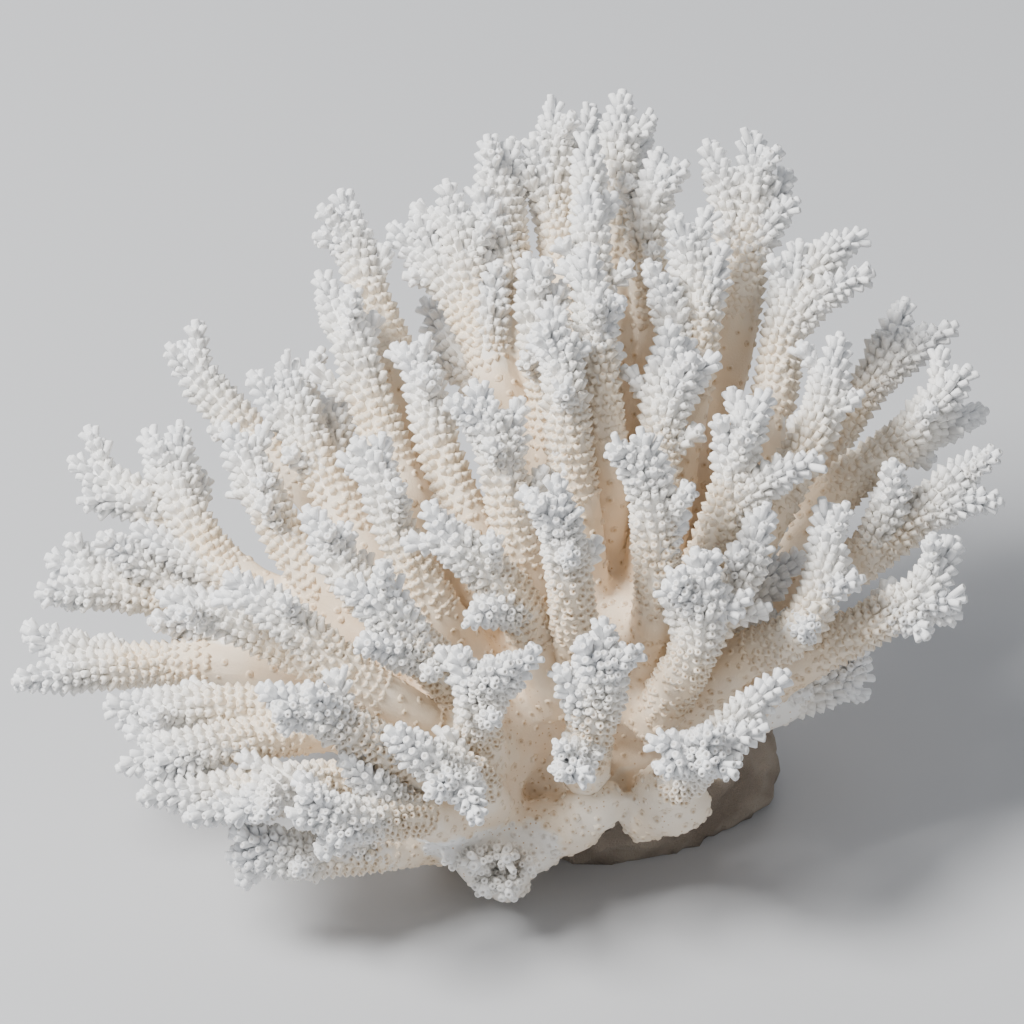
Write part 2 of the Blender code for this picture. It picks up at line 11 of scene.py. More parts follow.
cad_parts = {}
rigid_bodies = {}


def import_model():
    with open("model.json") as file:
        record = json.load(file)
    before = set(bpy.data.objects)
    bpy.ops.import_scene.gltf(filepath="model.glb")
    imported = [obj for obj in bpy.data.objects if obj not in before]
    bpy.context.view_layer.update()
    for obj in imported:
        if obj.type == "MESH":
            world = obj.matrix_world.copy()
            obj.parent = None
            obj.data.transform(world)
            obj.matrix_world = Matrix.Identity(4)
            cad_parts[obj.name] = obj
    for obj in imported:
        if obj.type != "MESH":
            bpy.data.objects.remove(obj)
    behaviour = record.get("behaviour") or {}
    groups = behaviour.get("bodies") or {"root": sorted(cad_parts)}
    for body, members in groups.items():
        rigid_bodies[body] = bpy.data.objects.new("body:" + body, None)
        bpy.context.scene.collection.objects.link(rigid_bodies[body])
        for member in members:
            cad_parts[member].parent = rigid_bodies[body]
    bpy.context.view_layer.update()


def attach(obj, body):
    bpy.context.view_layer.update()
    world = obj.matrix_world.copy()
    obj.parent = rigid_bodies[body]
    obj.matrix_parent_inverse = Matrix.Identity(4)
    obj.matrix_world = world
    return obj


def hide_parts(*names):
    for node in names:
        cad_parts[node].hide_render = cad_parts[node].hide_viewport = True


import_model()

# A bleached branching coral. Lengths are in millimetres until a mesh is made, and mm turns them into metres.
mm = 0.001

# The limbs are set out as across, rise and toward, on a plane through the crown that leans back.
setOut = {
    "lean": math.radians(35.0),
    "crown": (122.0, 58.8),  # across and rise of the crown on that plane
    "crownHeight": 27.0,  # above the foot
    "centre": (102.4, 102.4),
    "reach": 950.0,  # things toward the front spread less by this reach
    "shift": (0.6, -18.4),
    "forkSpacing": 6.5,  # spacing of the points that forks grow from
    "fineSpacing": 1.4,
    "tailPoints": 2,  # how many of those points a fork runs back inside what it grows from
    "curveSteps": 12,  # between two given points, before the even spacing
    "sideHint": (0.31, 0.17, 0.93),  # a direction that no limb sets out in
}

# Thickness of the limbs and how the cups fade from tube to flush pore on the way down from a tip.
limbStyle = {
    "tipRadius": 1.25,
    "tipTaper": 0.30,
    "neckRadius": 4.2,
    "bodyTaper": 0.014,
    "cupRoom": 1.25,  # how far the core lies under the outer size where cups stand on it
    "thinnest": 0.6,
    "commonRoot": 6.0,  # a limb with a thicker root is thicker all over, by a power of the ratio
    "rootPower": 0.3,
    "fade": (15.0, 46.0, 9.0),  # the cups fade between two distances from the tip, and above the crown
    "fadeStart": 0.5,  # distance above the crown where they begin
    "ageing": (2.0, 50.0),  # distances from the tip between which the skeleton grows old
    "rootDepth": 0.5,  # how much deeper than its own radius a limb's lower end lies in the crown
    "sides": 12,
    "voxel": 0.75,
    "keepShare": 0.15,  # share of the remeshed faces that stays
    "unevenness": 0.28,
    "swellSize": 5.0,
    "offCrown": 0.6,  # distance from the crown where its own pores begin
    "reach": 7.0,  # a point inside a limb is no further than this from its axis
    "buriedBy": 0.1,  # how deep in another limb a cup's end is left out
}

# A twig follows its stem a little before it turns out.
twigStyle = {
    "bendAt": 0.45,  # share of its reach
    "bendAlong": 0.12,
    "ofStem": 0.86,  # its radius at most, as a share of the stem's there
    "rootRadius": 5.0,
}

cupStyle = {
    "rowSpacing": 1.92,
    "sideSpacing": 1.9,
    "length": 1.4,
    "tipLength": 0.95,  # added near a tip
    "radius": 0.78,
    "tipCupRadius": 0.95,
    "slant": math.radians(46),  # between the cup and its limb
    "tipSlant": math.radians(13),  # taken off near a tip
    "oldSlant": math.radians(14),  # taken off where the cups lie down on the limb
    "slantSpread": math.radians(8),
    "longShare": 0.06,  # share of the young cups that grow on as prongs
    "longer": 1.5,
    "shortest": 0.16,  # share of the full length under which a cup is only a pore
    "root": 0.6,  # how deep a cup starts under the surface
    "sink": 0.6,  # how much deeper the oldest ones sit
    "tipRoot": 2.6,  # how far back the cup on the very tip begins
    "tipCupLength": 3.1,
    "firstRow": 2.8,  # distance back from the tip
    "lastRow": 0.5,  # distance from the root
    "tipReach": 5.0,  # distance over which the cups lose what those near a tip have
    "fewest": 5,  # in a row
    "rowRoom": 0.55,  # how far outside the core a row is measured
    "flushLength": 0.4,  # share of its length that a flush cup keeps
    "oldRadius": 1.12,
    "oldRadiusFade": 0.12,
    "longWithin": 24.0,  # distance from the tip
    "shear": 0.28,  # how much higher the outer side of the lip stands, in radii
    "tipShear": 0.13,  # taken off near a tip
    "deepestHole": 0.9,
    "holeShare": 0.5,  # of the cup's length
    "holeExtra": 0.3,
    "holeFloor": 0.03,  # least height of a hole's bottom over the limb
    "endShare": 0.9,  # of the length, where it is tested whether other parts hide a cup
    "turnSpread": 0.2,
    "angleSpread": 0.14,
    "alongSpread": 0.35,
    "tipSizeSpread": (0.92, 1.08),
    "lengthSpread": (0.80, 1.18),
    "sizeSpread": (0.86, 1.12),
    "rowSpread": (0.93, 1.07),
}

# The smallest side shoots, near the ends of the stems.
sprigStyle = {
    "from": 8.5,  # distance back from the tip
    "to": 28.0,
    "spacing": 8.5,
    "length": 4.3,  # beyond the stem's surface
    "thickness": 1.8,
    "lean": math.radians(50),
    "rootRadius": 5.0,
    "offRoot": 12.0,  # none this near the stem's root
    "bendAt": 0.5,
    "bendAlong": 0.12,
    "fineSpacing": 1.1,
    "older": 0.3,  # years for each millimetre back from the stem's tip
    "turn": 2.4,  # round the stem, from one to the next
    "firstSpread": 3.0,
    "leanSpread": 0.15,
    "turnSpread": 0.5,
    "lengthSpread": (0.75, 1.2),
    "thicknessSpread": (0.85, 1.15),
    "spacingSpread": (0.7, 1.3),
}

holdfastStyle = {
    "lumps": [  # centre before the shift, and half sizes
        ((18, 20, 4), (34, 30, 17)), ((36, 18, 6), (19, 20, 15)), ((15, 8, 24), (25, 25, 18)),
        ((33, 4, 13), (13, 9, 11)), ((-3, -4, 8), (11, 12, 15)), ((14, -7, 17), (13, 8, 8)),
        ((19, 5, 42), (27, 20, 20)), ((-12, -6, 33), (21, 17, 16)), ((-14, -16, 25), (16, 14, 13)),
        ((38, 4, 38), (17, 16, 13)), ((2, -19.2, 15.3), (9, 7, 8)), ((9.5, -20.4, 18.8), (8.5, 6, 6)),
        ((15.3, -20.7, 23.6), (6, 5, 5)), ((18.7, -20.8, 26.9), (3.4, 3.4, 3.6)),
        ((-5.3, -22.5, 12.4), (6.5, 6, 6.5)), ((-1.4, -24, 8.5), (4.8, 4.2, 4.8)),
        ((31, -21, 25), (8, 6, 6.5)), ((26.5, -18.5, 20.5), (5.5, 5, 6)),
    ],
    "shoots": [  # short growths at the front: points to the tip, root radius, cups fade from and to, years
        ([(112, 39.6, 9), (116.5, 43, 14), (121.8, 46.2, 18.5)], 5.0, 2.0, 11.0, 26.0),
        ([(99, 37, 4), (97, 34, 15), (94.8, 31.5, 25.0)], 5.0, 12.0, 20.0, 9.0),
        ([(101, 35, 4), (101, 30, 14), (101.8, 26.0, 22.0)], 4.5, 12.0, 20.0, 9.0),
        ([(96, 38, 5), (92.5, 35, 15), (89.6, 33.0, 22.0)], 4.5, 12.0, 20.0, 9.0),
        ([(98, 34, 5), (97.5, 30, 15), (96.6, 26.4, 22.5)], 4.5, 12.0, 20.0, 9.0),
        ([(98, 36, 5), (100, 34, 15), (101.4, 33.0, 23.5)], 4.2, 12.0, 20.0, 10.0),
        ([(104, 37, 5), (105, 33.5, 13), (106, 31.0, 19.5)], 4.5, 8.0, 16.0, 14.0),
    ],
    "voxel": 1.0,
    "keepShare": 0.42,
    "stubLength": 9.0,  # how far the crown's skin runs up each limb
    "stubOver": 0.7,
    "stubUnder": 0.45,
    "stubBefore": 2,  # points inside the crown where it begins to thin
    "unevenness": 0.7,
    "swellSize": 14.0,
    "fineUnevenness": 0.3,
    "fineSwellSize": 3.2,
    "shootThinnest": 1.5,
    "shootBareRoot": 1.8,
    "stoneTop": 22.0,  # height up to which it is worn and rough
    "stoneFade": 9.0,
    "stoneFront": (-13.0, -8.0),  # where it gives way to the clean lumps in front
    "stoneTurn": 0.25,  # how far that edge runs askew
    "stoneRoughness": 1.2,
    "stoneSwellSize": 3.8,
    "poresUpTo": 0.4,  # share of stone
    "leastRoom": 0.01,
    "lumpDetail": 3,
    "cutTolerance": 0.001,
}

# How every skin is made even and then uneven again.
skinStyle = {
    "smoothing": 0.5,
    "smoothPasses": 3,
    "fractal": (0.9, 2.1, 3),  # increment, lacunarity and octaves of the swellings
}


def place(point):
    # upright position in millimetres of a point set out as across, rise and toward
    across, rise, toward = point
    spread = 1.0 - toward / setOut["reach"]
    x = (across - setOut["centre"][0]) * spread
    upPlane = (rise - setOut["centre"][1]) * spread + setOut["centre"][1] - setOut["crown"][1]
    y = upPlane * math.sin(setOut["lean"]) - toward * math.cos(setOut["lean"])
    z = upPlane * math.cos(setOut["lean"]) + toward * math.sin(setOut["lean"]) + setOut["crownHeight"]
    return np.array((x + setOut["shift"][0], y + setOut["shift"][1], z))


def smoothPath(points, spacing):
    # evenly spaced points on a smooth curve through the given ones
    ends = [points[0] * 2 - points[1]] + list(points) + [points[-1] * 2 - points[-2]]
    fine = []
    for before, start, end, after in zip(ends, ends[1:], ends[2:], ends[3:]):
        for step in range(setOut["curveSteps"]):
            t = step / setOut["curveSteps"]
            fine.append(0.5 * (2 * start + (end - before) * t
                               + (2 * before - 5 * start + 4 * end - after) * t * t
                               + (3 * start - before - 3 * end + after) * t * t * t))
    fine = np.array(fine + [points[-1]])
    lengths = np.concatenate([[0.0], np.cumsum(np.linalg.norm(np.diff(fine, axis=0), axis=1))])
    count = max(2, round(lengths[-1] / spacing))
    wanted = np.linspace(0.0, lengths[-1], count + 1)
    return np.stack([np.interp(wanted, lengths, fine[:, axis]) for axis in range(3)], axis=1)


def pathLength(path):
    return float(np.linalg.norm(np.diff(path, axis=0), axis=1).sum())


def fullRadius(back, rootRadius):
    # outer radius at a distance back from the tip
    slim = np.minimum(limbStyle["tipRadius"] + limbStyle["tipTaper"] * back,
                      limbStyle["neckRadius"] + limbStyle["bodyTaper"] * back)
    return np.minimum(slim, rootRadius) * (rootRadius / limbStyle["commonRoot"]) ** limbStyle["rootPower"]


def smoothStep(value, low, high):
    t = np.clip((value - low) / (high - low), 0, 1)
    return t * t * (3 - 2 * t)


def cupShares(path, back, fade):
    # 1 where the cups are full tubes, falling to 0 where they are flush
    fadeFrom, fadeTo, bareRoot = fade
    share = 1.0 - smoothStep(back, fadeFrom, fadeTo)
    inside = np.flatnonzero(insideCrown(path))
    if len(inside):
        share = share * smoothStep(back[inside[-1]] - back, limbStyle["fadeStart"], bareRoot)
    return share


def frames(path):
    # two directions across the path at each of its points, which don't twist along it
    along = np.gradient(path, axis=0)
    along /= np.linalg.norm(along, axis=1)[:, None]
    side = np.cross(along[0], setOut["sideHint"])
    sides = []
    for direction in along:
        side = side - direction * side.dot(direction)
        side = side / np.linalg.norm(side)
        sides.append(side)
    sides = np.array(sides)
    return along, sides, np.cross(along, sides)


def tubeMesh(path, radii):
    _, side, other = frames(path)
    sides = limbStyle["sides"]
    angles = np.arange(sides) * 2 * math.pi / sides
    ring = (side[:, None] * np.cos(angles)[None, :, None]
            + other[:, None] * np.sin(angles)[None, :, None])
    points = (path[:, None] + ring * radii[:, None, None]).reshape(-1, 3)
    faces = []
    for row in range(len(path) - 1):
        for number in range(sides):
            near = row * sides + number
            far = row * sides + (number + 1) % sides
            faces.append((near, far, far + sides, near + sides))
    faces.append(tuple(reversed(range(sides))))
    faces.append(tuple(range(len(points) - sides, len(points))))
    return points, faces


def addObject(name, mesh):
    obj = bpy.data.objects.new(name, mesh)
    bpy.context.scene.collection.objects.link(obj)
    return obj


def joined(parts):
    # one list of points and faces from several
    points = []
    faces = []
    count = 0
    for partPoints, partFaces in parts:
        points.append(partPoints)
        faces += [tuple(corner + count for corner in face) for face in partFaces]
        count += len(partPoints)
    return np.concatenate(points), faces


def skinned(parts, voxel, keepShare):
    # fuses overlapping closed shapes into one even skin, and returns its points, normals and faces
    points, faces = joined(parts)
    mesh = bpy.data.meshes.new("skin")
    mesh.from_pydata((points * mm).tolist(), [], faces)
    obj = addObject("skin", mesh)
    remesh = obj.modifiers.new("fuse", "REMESH")
    remesh.mode = "VOXEL"
    remesh.voxel_size = voxel * mm
    smooth = obj.modifiers.new("smooth", "SMOOTH")
    smooth.factor = skinStyle["smoothing"]
    smooth.iterations = skinStyle["smoothPasses"]
    thin = obj.modifiers.new("thin", "DECIMATE")
    thin.ratio = keepShare
    evaluated = obj.evaluated_get(bpy.context.evaluated_depsgraph_get())
    skin = bpy.data.meshes.new_from_object(evaluated)
    bpy.data.objects.remove(obj, do_unlink=True)
    bpy.data.meshes.remove(mesh)
    points = np.empty(len(skin.vertices) * 3, np.float32)
    skin.vertices.foreach_get("co", points)
    normals = np.empty(len(skin.vertices) * 3, np.float32)
    skin.vertex_normals.foreach_get("vector", normals)
    faces = [tuple(polygon.vertices) for polygon in skin.polygons]
    bpy.data.meshes.remove(skin)
    return points.reshape(-1, 3) / mm, normals.reshape(-1, 3), faces


def uneven(points, normals, amount, scale):
    # slow swellings and hollows, so that nothing is turned on a lathe
    moved = points.copy()
    for number, (point, normal) in enumerate(zip(points, normals)):
        swell = noise.fractal(Vector(point) / scale, *skinStyle["fractal"])
        moved[number] += normal * swell * amount
    return moved


def insideCrown(points, margin=0.0):
    # True at least the margin deep in a lump; the margin is one value or one for each point
    inside = np.zeros(len(points), bool)
    for centre, half in holdfastStyle["lumps"]:
        middle = np.array(centre) + (*setOut["shift"], 0.0)
        room = np.maximum(np.array(half) - np.reshape(margin, (-1, 1)), holdfastStyle["leastRoom"])
        inside |= (((points - middle) / room) ** 2).sum(1) < 1.0
    return inside


# The limbs, one dictionary for each piece. A limb is its name, what it grows from, its root or the share of
# the parent's length where it starts, its root radius, its points out to the tip, and its twigs, each as the
# share of the limb's length where it starts and its tip.
backLimbs = {"piece": "back_limbs", "limbs": [
    ("back_mid", "holdfast", (121, 64, 0), 7.0,
     [(122, 100, 1), (121, 130, -2), (122, 155, -9), (124.5, 186.5, -14)],
     [(0.80, (129.5, 178.5, -20))]),
    ("back_fan", "back_mid", 0.52, 5.5, [(115, 146, -8), (111.5, 158, -12), (110.4, 185, -17)],
     [(0.45, (106.6, 178, -13)), (0.30, (118.6, 183.5, -22))]),
    ("back_right_spire", "back_mid", 0.36, 5.0,
     [(127.5, 124, -5), (129.5, 145, -6), (129, 158, -6), (132, 175, -8)],
     [(0.80, (137.4, 172.2, -4))]),
    ("back_mid_front", "back_mid", 0.24, 5.0, [(120.5, 118, 11), (118.5, 148, 14), (117.6, 169, 12)],
     [(0.50, (117.4, 178, 0))]),
    ("back_front_stub", "back_mid", 0.16, 5.0, [(121.5, 108, 20), (119, 135, 27), (117.4, 156, 28)],
     [(0.72, (124.6, 145, 31))]),
]}

backLeftLimbs = {"piece": "back_left_limbs", "limbs": [
    ("back_left_tall", "holdfast", (114, 64, 2), 6.5,
     [(111, 100, 2), (107, 130, -2), (101.5, 155, -6), (97.4, 177.5, -9)],
     [(0.80, (102.5, 177, -13)), (0.72, (95.2, 167.5, -2))]),
    ("back_left_inner", "back_left_tall", 0.36, 5.0, [(110, 122, 10), (107.5, 138, 14), (105.4, 154, 14)],
     [(0.45, (112.6, 148.5, 16))]),
    ("upper_left_fork", "back_left_tall", 0.33, 5.5,
     [(102, 122, 2), (96, 139, 0), (93, 152, -1), (89.2, 168.6, -3)],
     [(0.50, (98.6, 162, -5)), (0.42, (100, 152.5, 3))]),
    ("upper_left_hook", "upper_left_fork", 0.42, 5.0, [(91, 146, -1), (85, 153, -3), (77.8, 159.5, -4)],
     [(0.60, (83.4, 161.5, -3))]),
]}

upperLeftLimbs = {"piece": "upper_left_limbs", "limbs": [
    ("upper_left_low", "holdfast", (112, 62, -6), 6.0,
     [(109, 92, -12), (103, 116, -16), (94, 131, -17), (84.6, 145, -17)], []),
    ("upper_left_long", "holdfast", (108, 62, 6), 6.0,
     [(98, 90, 5), (86, 115, 2), (79, 133, 0), (73, 148, -1), (68.2, 166.6, -4)],
     [(0.86, (63, 157.6, 1))]),
    ("upper_left_stout", "holdfast", (104, 62, 10), 6.5,
     [(92, 82, 14), (80, 109, 15), (74, 125, 15), (70.4, 137, 15), (69.6, 147.4, 14)],
     [(0.84, (63.6, 150.2, 12))]),
    ("upper_left_front", "upper_left_stout", 0.18, 5.5,
     [(96, 93, 21), (90, 109, 22), (86, 121, 21), (84.6, 137.4, 19)],
     [(0.85, (80.6, 135.5, 23))]),
]}

centreLimbs = {"piece": "centre_limbs", "limbs": [
    ("centre_left", "holdfast", (112, 66, 12), 7.0,
     [(106, 87, 24), (102.5, 101, 30), (99.5, 115, 33), (94.6, 128.6, 35)],
     [(0.80, (89.4, 124.6, 39)), (0.72, (104.5, 125, 32))]),
    ("centre_tall", "holdfast", (118, 70, 8), 6.5,
     [(116, 96, 22), (114, 115, 29), (112.6, 130, 33), (109.6, 144, 33)],
     [(0.84, (107.2, 139.6, 38)), (0.82, (117.6, 136, 32))]),
    ("centre_front", "holdfast", (116, 66, 16), 6.0,
     [(114.6, 82, 36), (113.2, 93, 46), (112, 101, 51), (111.2, 109.6, 54)],
     [(0.80, (106.4, 105, 57))]),
    ("centre_right_front", "holdfast", (127, 66, 12), 7.0,
     [(131.6, 84, 30), (131, 97, 39), (130, 109, 44), (128, 119, 46)],
     [(0.82, (121.8, 115.4, 50)), (0.60, (137.6, 102, 41))]),
    ("centre_right_back", "holdfast", (126, 70, 6), 6.5,
     [(130.5, 98, 17), (132, 119, 22), (133.4, 131, 23), (133.8, 140.6, 23)],
     [(0.72, (143.6, 133.4, 21)), (0.62, (138.5, 134.0, 28))]),
]}

rightBackLimbs = {"piece": "right_back_limbs", "limbs": [
    ("right_back_mid", "holdfast", (127, 68, 4), 6.5,
     [(134, 108, 9), (139, 134, 10), (139.6, 148, 9), (134.4, 162.2, 8)],
     [(0.75, (144.6, 156, 9)), (0.60, (129.6, 152.6, 14))]),
    ("right_back_tall", "holdfast", (130, 66, -4), 7.0,
     [(140, 112, -7), (146, 136, -7), (149.4, 155, -7), (151, 178.2, -9)],
     [(0.74, (141.2, 176.6, -8)), (0.80, (158, 170.5, -12)), (0.76, (159.6, 164.8, -5))]),
    ("right_back_low", "holdfast", (132, 66, 2), 6.5,
     [(145, 94, 4), (154, 122, 4), (157, 140, 1), (160, 156.6, -3)],
     [(0.84, (173, 158.2, -7)), (0.78, (174.6, 150.2, 4))]),
]}

rightFanLimbs = {"piece": "right_fan_limbs", "limbs": [
    ("right_fan_upper", "holdfast", (134, 64, -6), 6.5,
     [(150, 92, -12), (168, 120, -14), (176, 131, -13), (181.2, 145, -12)],
     [(0.80, (191.2, 140, -10))]),
    ("right_fan_mid", "holdfast", (136, 62, 2), 6.5,
     [(155, 92, 2), (170, 109, 2), (182, 118, 2), (193.8, 131.4, 0)],
     [(0.70, (197.2, 122.6, -6))]),
    ("right_fan_low", "holdfast", (138, 60, 2), 7.5,
     [(158, 83, 2), (172, 93, 4), (184, 102, 6), (198, 114.8, 7)],
     [(0.80, (200.2, 104.4, 10)), (0.62, (178.6, 112.6, 15))]),
    ("right_low_long", "holdfast", (138, 58, 8), 7.0,
     [(157, 71, 13), (174, 80, 19), (184, 86, 22), (191.6, 97, 21)],
     [(0.72, (193, 85, 25)), (0.68, (185.4, 77.4, 26))]),
]}

rightFrontLimbs = {"piece": "right_front_limbs", "limbs": [
    ("right_front_long", "holdfast", (133, 66, 8), 6.5,
     [(148, 92, 17), (157, 108, 18), (164, 121, 16), (168, 138, 13)], []),
    ("right_front_mid", "holdfast", (130, 66, 12), 6.0,
     [(139.5, 88, 24), (146, 106, 27), (149, 118, 27), (153.8, 126.6, 25)],
     [(0.74, (143.4, 121.4, 31)), (0.55, (164.4, 113, 31))]),
    ("right_front_short", "holdfast", (134, 62, 14), 6.0,
     [(148, 73, 23), (160, 79, 28), (165.4, 92, 26), (164.4, 105, 24)],
     [(0.55, (160.4, 78.6, 37)), (0.66, (172.4, 89, 30))]),
    ("right_inner", "holdfast", (132, 66, 12), 6.0, [(144, 79, 16), (152, 87, 15), (160.6, 94, 12)], []),
    ("right_front_stout", "holdfast", (130, 60, 18), 7.5, [(138, 73, 34), (141, 84, 41), (139, 95, 44)],
     [(0.75, (133, 87.4, 48)), (0.70, (148.6, 82, 41)), (0.85, (143.4, 94.4, 40))]),
    ("right_front_spur", "right_front_stout", 0.36, 5.0,
     [(147, 87, 33), (151, 96, 34), (153.4, 104, 34)], []),
    ("right_skirt", "holdfast", (132, 60, 2), 7.5, [(152, 64, 0), (164, 67, -2), (174, 71.5, -3)],
     [(0.80, (172, 76.5, 3))]),
]}

frontLimbs = {"piece": "front_limbs", "limbs": [
    ("front_right_head", "holdfast", (132, 46, 14), 8.5, [(137, 50, 30), (141, 56, 42), (141.6, 58, 48)],
     [(0.65, (130.4, 56.8, 46)), (0.70, (131.6, 50.6, 47)), (0.55, (157.6, 70.4, 36)),
      (0.60, (153.4, 59.4, 42)), (0.70, (147, 50, 47))]),
    ("front_mid", "holdfast", (117, 50, 16), 6.5, [(118, 59, 36), (121, 67, 45), (120.6, 81, 51)],
     [(0.72, (126.4, 75, 52)), (0.66, (116, 77, 53)), (0.50, (111.2, 71.4, 48))]),
    ("front_mid_star", "front_mid", 0.36, 5.0, [(115, 52.5, 40), (112, 49.8, 48)],
     [(0.55, (118.5, 49, 46))]),
    ("front_fork", "holdfast", (97, 50, 14), 6.0, [(95.5, 60, 34), (95, 67, 41), (91, 75, 47)],
     [(0.60, (107.6, 75, 50)), (0.66, (102, 72, 52))]),
    ("front_tee", "holdfast", (98, 44, 12), 6.5, [(94, 49, 34), (86, 53, 44), (77.6, 59, 50)],
     [(0.50, (96, 40.4, 50)), (0.62, (86, 46, 51))]),
    ("front_left_blue", "holdfast", (112, 64, 16), 7.0,
     [(104, 83, 33), (97, 91, 40), (90, 97, 44), (85, 104, 46)],
     [(0.50, (93.6, 80.6, 47))]),
]}

leftInnerLimbs = {"piece": "left_inner_limbs", "limbs": [
    ("left_front_blue", "holdfast", (100, 58, 14), 7.0,
     [(87, 72, 34), (80, 79, 40), (74, 85, 44), (67.6, 88.4, 46)],
     [(0.55, (71.4, 76, 48)), (0.62, (78, 88.5, 45))]),
    ("left_inner", "holdfast", (100, 62, 10), 6.0,
     [(84, 76, 24), (71, 88, 30), (66, 95, 31), (61.2, 103.4, 31)],
     [(0.80, (70, 100, 33))]),
    ("left_finger", "holdfast", (102, 64, 10), 5.5,
     [(87, 84, 26), (79, 99, 31), (75, 110, 33), (70.8, 117, 34)],
     [(0.84, (76.5, 118, 32))]),
    ("left_stout", "holdfast", (100, 62, 6), 7.5,
     [(77, 88, 11), (68, 104, 11), (61, 117, 9), (57, 133.4, 6)],
     [(0.76, (50, 130.2, 10)), (0.80, (61, 131, 0)), (0.60, (67.6, 126.8, -8))]),
    ("left_long", "holdfast", (98, 62, -3), 6.0,
     [(70, 98, -8), (58, 111, -9), (47, 121, -8), (33.6, 135.8, -7)],
     [(0.92, (37.0, 136.2, -9))]),
]}

leftFanLimbs = {"piece": "left_fan_limbs", "limbs": [
    ("left_mid", "holdfast", (98, 58, 8), 6.5, [(76, 76, 12), (60, 93, 13), (51, 109, 12), (45, 120, 10)],
     [(0.78, (52.6, 109.6, 18))]),
    ("left_upper_fan", "left_mid", 0.38, 6.0, [(49, 88, 8), (38, 101, 7), (35.6, 110, 5), (36, 120.4, 3)],
     [(0.70, (29, 118.6, 1)), (0.42, (26.5, 99.5, 7))]),
    ("left_far_fan", "left_upper_fan", 0.42, 5.5, [(30, 103.5, 1), (22, 108, 0), (14, 113, -1)],
     [(0.50, (15.8, 104.6, 5))]),
    ("left_low", "holdfast", (98, 54, 6), 7.0, [(70, 65, 4), (46, 72, 5), (22, 72, 7), (4.6, 79, 8)],
     [(0.66, (2.8, 68.4, 17))]),
    ("left_low_upper", "left_low", 0.40, 6.0, [(42, 83, 0), (26, 87, 0), (9.4, 93.4, 1)],
     [(0.55, (7.4, 85.8, 8)), (0.45, (20, 97.8, 9)), (0.30, (31.5, 96.5, 4)), (0.20, (30, 80.5, 9))]),
]}

leftFrontLimbs = {"piece": "left_front_limbs", "limbs": [
    ("left_blue", "holdfast", (98, 56, 12), 6.0,
     [(66, 71, 23), (50, 79, 26), (40, 83, 28), (31.6, 86, 28)], []),
    ("left_front_spur", "holdfast", (100, 52, 14), 6.5,
     [(82, 62, 30), (69, 71, 37), (58, 80.5, 41), (45.2, 90, 43)], []),
    ("left_front_low", "holdfast", (98, 50, 8), 7.0,
     [(76, 57, 17), (52, 63, 22), (36, 63, 25), (21, 63.6, 26)], []),
    ("left_front_star", "holdfast", (98, 46, 14), 6.5, [(81, 53, 36), (66, 61, 48), (51.6, 67, 54)],
     [(0.66, (62, 67.4, 56)), (0.75, (56, 59, 55))]),
    ("low_left_upper", "left_front_low", 0.40, 5.5, [(44, 56, 30), (34, 54.5, 33), (23.6, 51, 34)],
     [(0.55, (29.6, 49.4, 37))]),
]}

lowLeftLimbs = {"piece": "low_left_limbs", "limbs": [
    ("low_left_mid", "holdfast", (98, 44, 6), 6.5,
     [(76, 47, 21), (58, 48, 33), (51, 44, 38), (45.6, 40.8, 40)],
     [(0.42, (27.8, 45.4, 38)), (0.50, (37, 41, 39))]),
    ("low_left_star", "holdfast", (98, 40, 8), 6.5, [(85, 42, 29), (73, 41, 43), (58, 42, 53)],
     [(0.78, (60, 47, 54)), (0.45, (68.4, 54, 46)), (0.70, (66, 37, 51))]),
    ("low_left_skirt", "holdfast", (102, 38, 0), 7.0,
     [(86, 37.5, 11), (74, 35, 20), (60, 33.5, 27), (45.4, 33.6, 31)],
     [(0.66, (46.4, 39, 35)), (0.50, (64, 40.5, 33))]),
]}

rearLimbs = {"piece": "rear_limbs", "limbs": [
    ("rear_left", "holdfast", (108, 66, -12), 6.5, [(96, 84, -26), (84, 104, -34), (74, 116, -38)],
     [(0.70, (84, 120, -36))]),
    ("rear_mid", "holdfast", (122, 68, -14), 7.0, [(124, 94, -28), (123, 118, -36), (120, 134, -38)],
     [(0.66, (131, 130, -36)), (0.60, (112, 126, -36))]),
    ("rear_right", "holdfast", (136, 64, -12), 6.5, [(148, 78, -28), (158, 96, -36), (166, 108, -40)],
     [(0.66, (154, 108, -40))]),
]}

limbPieces = [
    backLimbs, backLeftLimbs, upperLeftLimbs, centreLimbs, rightBackLimbs, rightFanLimbs, rightFrontLimbs,
    frontLimbs, leftInnerLimbs, leftFanLimbs, leftFrontLimbs, lowLeftLimbs, rearLimbs,
]


